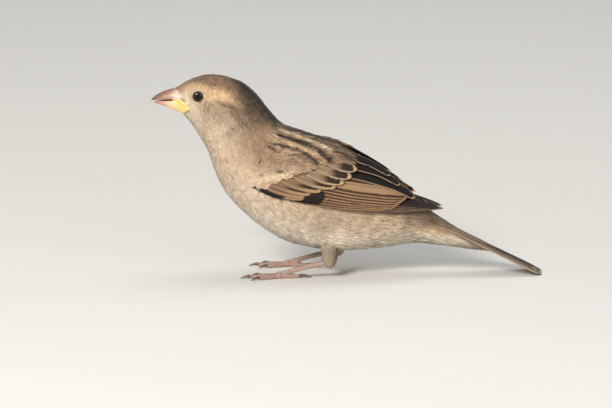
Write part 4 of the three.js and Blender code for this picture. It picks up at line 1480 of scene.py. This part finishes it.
def makeTail():
    random = np.random.default_rng(tail["seed"])
    shapes = []
    feathers = []
    long = tail["tip"][0] - tail["root"][0]
    fall = tail["tip"][1] - tail["root"][1]
    slope = math.atan2(fall, long)
    rows = vaneCut["rings"]
    rootWide, tipWide = tail["wide"]
    for pair in range(tail["pairs"]):
        outer = pair / (tail["pairs"] - 1)
        run = (math.hypot(long, fall) + tail["notch"] * outer + tail["longer"]) * np.linspace(0, 1, rows)
        for side in sides.values():
            turn = math.radians(tail["fan"] * (pair + 0.5)) * side
            y = side * tail["spread"] * (pair + 0.5) + math.sin(turn) * run
            x = tail["root"][0] + math.cos(turn) * run * math.cos(slope)
            z = tail["root"][1] + math.cos(turn) * run * math.sin(slope) - tail["drop"] * pair
            z = z - tail["arch"] * np.abs(y) + tail["over"] + (tail["stagger"] if side > 0 else 0)
            mid = np.stack([x, y, np.maximum(z, tail["over"])], axis=-1)
            outward = np.tile([-math.sin(slope), 0, math.cos(slope)], (rows, 1))
            across = np.tile([0.0, side, 0.0], (rows, 1))
            feather = {
                "wide": tipWide, "start": rootWide / tipWide, "asym": -0.12 * outer, "tilt": 0,
                "blunt": tail["blunt"], "camber": tail["camber"],
                "inner": tone(*tail["inner"]) * random.uniform(0.9, 1.1) * (1 + 0.22 * pair),
                "outer": tone(*tail["outer"]) * (1 + 0.08 * pair),
                "fringe": (0.1, 0.12 + 0.4 * outer ** 3, 0.02),
            }
            feathers.append(feather)
            shapes.append(vaneShape(mid, across, outward, feather, random))
    vanePiece("rectrices", "tail", shapes, feathers, "tail")
    print("tail:", len(shapes), "feathers")


makeTail()


# Bill: two horny halves and the soft corners of the mouth

billTones = {  # from the tip to the corner of the mouth
    "upper": {0.0: (106, 80, 66), 0.25: (150, 114, 94), 0.55: (176, 138, 118), 0.68: (214, 186, 168)},
    "lower": {0.05: (164, 124, 102), 0.3: (204, 160, 134), 0.5: (232, 198, 164), 0.7: (242, 208, 142)},
    "ridge": (104, 76, 62),
}


def billPaint(half):
    paint = Paint(f"{half} bill horn", Roughness=0.4, Specular_IOR_Level=0.45, Subsurface_Weight=0.06,
                  Subsurface_Scale=0.001)
    x, _, z = paint.axes(paint.place())
    streaks = paint.noise(paint.stretched(paint.place(), (160, 900, 900)), 1.0, 3.0)
    fine = paint.noise(paint.place(), 2600.0)
    share = (x / mm + 73.5) * (1 / 13.3) + (streaks - 0.5) * 0.18
    stops = [(place, tone(*shade)) for place, shade in billTones[half].items()]
    colour = paint.node("ShaderNodeValToRGB", {"stops": stops}, {"Fac": share})
    if half == "upper":  # a dark line along the ridge
        ridge = (z / mm + (x / mm) * -0.35).step(91.3, 93.6)
        colour = paint.mix(ridge * 0.6, colour, tone(*billTones["ridge"]))
    colour = paint.multiplied(0.4, colour, paint.mix(streaks, tone(190, 170, 160), tone(255, 252, 250)))
    return paint.finish(colour, streaks * 0.2 + 0.3, paint.bump(streaks + fine * 0.3, 0.25, 0.00012))


def gapePaint():
    paint = Paint("gape flesh", Roughness=0.45, Subsurface_Weight=0.15, Subsurface_Scale=0.001)
    blush = paint.noise(paint.place(), 900.0)
    yellow = paint.mix(blush, tone(228, 178, 92), tone(242, 212, 142))
    yellow = paint.multiplied(1.0, yellow, paint.attribute("tone"))
    return paint.finish(yellow, None, paint.bump(blush, 0.3, 0.0002))


def makeHorn(half, outward):  # one half of the bill: an arch over a bowed floor
    x, ridge, edge, wide = curveOf(bill[half])(np.linspace(0, 1, bill["rings"])).T[..., None]
    turn = np.linspace(0, math.pi, bill["arch"])
    y = wide * np.cos(turn)
    z = edge + (ridge - edge) * np.sin(turn) ** 0.85
    if half == "upper":
        hole = bill["nostril"]
        y = y - np.sign(y) * np.exp(-farFrom(hole, x, z) ** 2 * 1.5) * hole["deep"]
    bite = np.linspace(1, -1, bill["floor"])[1:-1]
    y = np.concatenate([y, -wide * bite], axis=1)
    z = np.concatenate([z, edge + outward * bill["bow"] * (1 - bite ** 2)], axis=1)
    rings = np.stack([x + 0 * y, y, z], axis=-1)
    settle(loftPiece(f"bill_{half}_horn", rings, billPaint(half)), "bill", f"bill_{half}")


def makeGape():  # a soft pad with an upper and a lower lip at each corner of the mouth
    x, top, low, groove = curveOf(bill["gape"])(np.linspace(0, 1, bill["gapeRings"])).T[..., None]
    v = np.linspace(0, 1, bill["gapeSides"])
    z = low + (top - low) * v
    x = x + 0 * z
    horn = np.interp(x, [row[0] for row in bill["upper"]], [row[3] for row in bill["upper"]])
    y = np.maximum(sideReach(bodySurface, x, z), horn * 0.98)
    ends = np.sin(np.linspace(0.02, math.pi - 0.02, len(x)))[:, None] ** 0.5
    puff = np.sqrt(np.clip(1 - (2 * v - 1) ** 2, 0, 1)) * ends
    pad = bill["pad"]
    cut = np.exp(-((z - groove) / pad["grooveHalf"]) ** 2) * puff
    out = np.stack([x, y - pad["front"] + pad["swell"] * puff - pad["groove"] * cut, z], axis=-1)
    back = np.stack([x, y - pad["back"], z], axis=-1)[:, ::-1]
    rings = np.concatenate([out, back], axis=1)
    # painted shade: the groove between the lips is darker and warmer
    shade = np.concatenate([1 - pad["shade"] * cut, np.ones_like(cut)], axis=1)
    shades = np.vstack([(shade[..., None] ** np.array([0.6, 1.4, 2.2])).reshape(-1, 3), np.ones((2, 3))])
    flesh = gapePaint()
    for name, side in sides.items():
        settle(loftPiece(f"gape_{name}", rings * (1, side, 1), flesh, shades), "bill")


makeHorn("upper", 1)
makeHorn("lower", -1)
makeGape()
print("bill: two halves and the gape")


# Eyes and lids

eyes = {
    "segments": 64, "rings": 40, "pupil": 1.3, "iris": 1.95,
    "lidRing": 2.34, "lidThick": 0.42, "lidOut": 7.45, "skirt": 1.3, "lidSegments": 72, "lidSides": 18,
}


def eyePaint():
    paint = Paint("eye", Roughness=0.05, Specular_IOR_Level=0.22)
    far = paint.fromAxis(eyeMiddle)
    rays = paint.noise(paint.place(), 1800.0, 3.0)
    iris = paint.mix(rays, tone(44, 29, 18), tone(92, 64, 42))
    colour = paint.mix(far.step(eyes["pupil"] - 0.06, eyes["pupil"] + 0.1), tone(8, 7, 8), iris)
    colour = paint.mix(far.step(eyes["iris"] - 0.35, eyes["iris"]), colour, tone(20, 14, 12))
    return paint.finish(colour)


def lidPaint():
    paint = Paint("eyelid", Roughness=0.6)
    far = paint.fromAxis(eyeMiddle)
    grain = paint.noise(paint.place(), 3500.0)
    colour = paint.mix(far.step(1.95, 2.2), tone(46, 36, 30), tone(172, 147, 119))
    return paint.finish(colour, None, paint.bump(grain, 0.5, 0.00012))


def addRound(operator, name, across, material, **sizes):  # a round primitive that faces sideways at the eye
    bpy.ops.object.select_all(action="DESELECT")
    middle = Vector((eyeMiddle[0], across, eyeMiddle[2])) * mm
    operator(location=middle, rotation=(math.pi / 2, 0, 0), **sizes)
    piece = bpy.context.active_object
    piece.name = name
    bpy.ops.object.transform_apply(location=True, rotation=True, scale=True)
    bpy.ops.object.shade_smooth()
    piece.data.materials.append(material)
    return piece


def fitLid(ring, side):  # the inner half lies on the globe, the outer half spreads over it down to the head
    points = pointsOf(ring)
    dx = points[:, 0] - eyeMiddle[0]
    dz = points[:, 2] - eyeMiddle[2]
    far = np.hypot(dx, dz)
    spread = 1 + eyes["skirt"] * np.maximum(far - eyes["lidRing"], 0) / far
    points[:, 0] = eyeMiddle[0] + dx * spread
    points[:, 2] = eyeMiddle[2] + dz * spread
    onGlobe = abs(eyeMiddle[1]) + np.sqrt(np.maximum(eyeRadius ** 2 - (far * spread) ** 2, 0))
    onHead = sideReach(bodySurface, points[:, 0], points[:, 2])
    base = np.maximum(onGlobe, onGlobe + (onHead - onGlobe) * smooth(2.3, 3.1, far * spread))
    points[:, 1] = side * (base + (np.abs(points[:, 1]) - eyes["lidOut"]) * 0.8)
    points[:, 0] += dx * 0.05  # the corners are drawn out a little
    points[:, 2] -= dz * 0.03 - 0.04 * np.sin(np.arctan2(dz, dx) * 12)
    movePoints(ring, points)


def makeEyes():
    lens = eyePaint()
    lid = lidPaint()
    for name, side in sides.items():
        globe = addRound(
            bpy.ops.mesh.primitive_uv_sphere_add, f"eyeball_{name}", side * abs(eyeMiddle[1]), lens,
            segments=eyes["segments"], ring_count=eyes["rings"], radius=eyeRadius * mm)
        settle(globe, "eye", f"eye_{name}")
        ring = addRound(
            bpy.ops.mesh.primitive_torus_add, f"eyelid_{name}", side * eyes["lidOut"], lid,
            major_segments=eyes["lidSegments"], minor_segments=eyes["lidSides"],
            major_radius=eyes["lidRing"] * mm, minor_radius=eyes["lidThick"] * mm)
        fitLid(ring, side)
        settle(ring, "crown")
    print("eyes: two globes with their lids")


makeEyes()


# Legs and claws

toes = {  # heading in degrees from straight ahead, length, claw length
    "hallux": (172, 7.6, 4.9),
    "inner": (22, 8.4, 3.4),
    "middle": (-3, 11.0, 3.8),
    "outer": (-27, 8.6, 3.4),
}
leg = {
    "knuckle": (-25.2, 1.25), "heel": (-4.4, 6.7), "rise": 0.72, "voxel": 0.19, "smoothing": 3,
    "skinOut": 0.12, "scale": 0.95, "depth": 0.14, "sunk": 0.1,
    "clawRadii": [0.66, 0.6, 0.48, 0.3, 0.1], "clawNarrow": 0.72, "clawIn": 0.9,
    "clawRings": 22, "clawSides": 14,
    # height of a claw's middle over the toe's end, from root to tip; the tip itself is at clawTip
    "clawBow": ([0, 0.35, 0.7, 1], [0, 0.4, 0.05]), "clawTip": 0.14,
}


def onLeg(name, place):  # a place on the leg's own plane
    return np.array([place[0] + thigh["stride"][name], sides[name] * thigh["spacing"], place[1]])


def toeHeading(name, toe):
    heading = math.radians(toes[toe][0])
    return np.array([-math.cos(heading), -sides[name] * math.sin(heading), 0])


def legPaint():
    paint = Paint("scaly leg", Roughness=0.5, Specular_IOR_Level=0.4, Subsurface_Weight=0.1,
                  Subsurface_Scale=0.001)
    grain = paint.noise(paint.place(), 2200.0)
    colour = paint.mix(grain, tone(136, 108, 96), tone(190, 160, 144))
    colour = paint.multiplied(1.0, colour, paint.attribute("tone"))
    return paint.finish(colour, grain * 0.2 + 0.4, paint.bump(grain, 0.3, 0.0001))


def clawPaint():
    paint = Paint("claw horn", Roughness=0.35, Specular_IOR_Level=0.5)
    grain = paint.noise(paint.stretched(paint.place(), (500, 1600, 1600)), 1.0)
    return paint.finish(paint.mix(grain, tone(70, 54, 44), tone(112, 88, 72)), grain * 0.2 + 0.28)


def makeLeg(name, material):  # scutes are rows of low overlapping plates down the shank and over each toe
    piece = copyOfNodes(f"leg_{name}", f"tarsus_{name}", f"foot_{name}")
    movePoints(piece, pointsOf(piece) + normalsOf(piece) * leg["skinOut"])
    voxelSkin(piece, leg["voxel"], leg["smoothing"])
    points = pointsOf(piece)
    normals = normalsOf(piece)
    knuckle = onLeg(name, leg["knuckle"])
    lines = [(knuckle, onLeg(name, leg["heel"]))]
    for toe, (_, length, _) in toes.items():
        end = knuckle + toeHeading(name, toe) * length
        end[2] = leg["rise"]
        lines.append((knuckle, end))
    best = np.full(len(points), 99.0)
    run = np.zeros(len(points))
    for start, end in lines:
        line = end - start
        share = np.clip((points - start) @ line / (line @ line), 0, 1)
        far = np.linalg.norm(points - start - share[:, None] * line, axis=1)
        run = np.where(far < best, share * np.linalg.norm(line), run)
        best = np.minimum(best, far)
    upper = smooth(-0.3, 0.4, normals[:, 2])
    phase = run / leg["scale"] % 1
    plate = np.where(phase < 0.82, 0.4 + 0.6 * phase / 0.82, 0) * upper
    points += normals * (plate * leg["depth"] - leg["sunk"])[:, None]
    points[:, 2] = np.maximum(points[:, 2], 0)
    movePoints(piece, points)
    shade = 1 - 0.5 * upper * (1 - smooth(0.0, 0.4, phase) * (1 - smooth(0.8, 0.86, phase)))
    colourPoints(piece.data, "tone", shade[:, None] * np.ones(3))
    piece.data.materials.append(material)
    settle(piece, "leg", f"tarsus_{name}", f"foot_{name}")


def makeClaw(name, toe, material):
    _, length, claw = toes[toe]
    ahead = toeHeading(name, toe)
    share = np.linspace(0, 1, leg["clawRings"])
    bow, rises = leg["clawBow"]
    height = np.interp(share, bow, [leg["rise"] + rise for rise in rises] + [leg["clawTip"]])
    height = np.convolve(np.pad(height, 3, "edge"), np.ones(7) / 7, "valid")
    out = length - leg["clawIn"] + share * (claw + leg["clawIn"])
    middle = onLeg(name, leg["knuckle"]) + ahead * out[:, None]
    middle[:, 2] = height
    radius = np.interp(share, np.linspace(0, 1, 5), leg["clawRadii"])[:, None]
    forward = unit(np.gradient(middle, axis=0))
    across = unit(np.cross(forward, [0, 0, 1]))
    up = np.cross(across, forward)
    turn = np.linspace(0, 2 * math.pi, leg["clawSides"], endpoint=False)
    ring = middle[:, None] + across[:, None] * (leg["clawNarrow"] * radius * np.cos(turn))[..., None]
    ring = ring + up[:, None] * (radius * np.sin(turn))[..., None]
    ring[..., 2] = np.maximum(ring[..., 2], 0.01)
    settle(loftPiece(f"nail_{name}_{toe}", ring, material), "claw", f"claw_{name}_{toe}")


skinPaint = legPaint()
hornPaint = clawPaint()
for name in sides:
    makeLeg(name, skinPaint)
    for toe in toes:
        makeClaw(name, toe, hornPaint)
print("legs: two, with", 2 * len(toes), "claws")
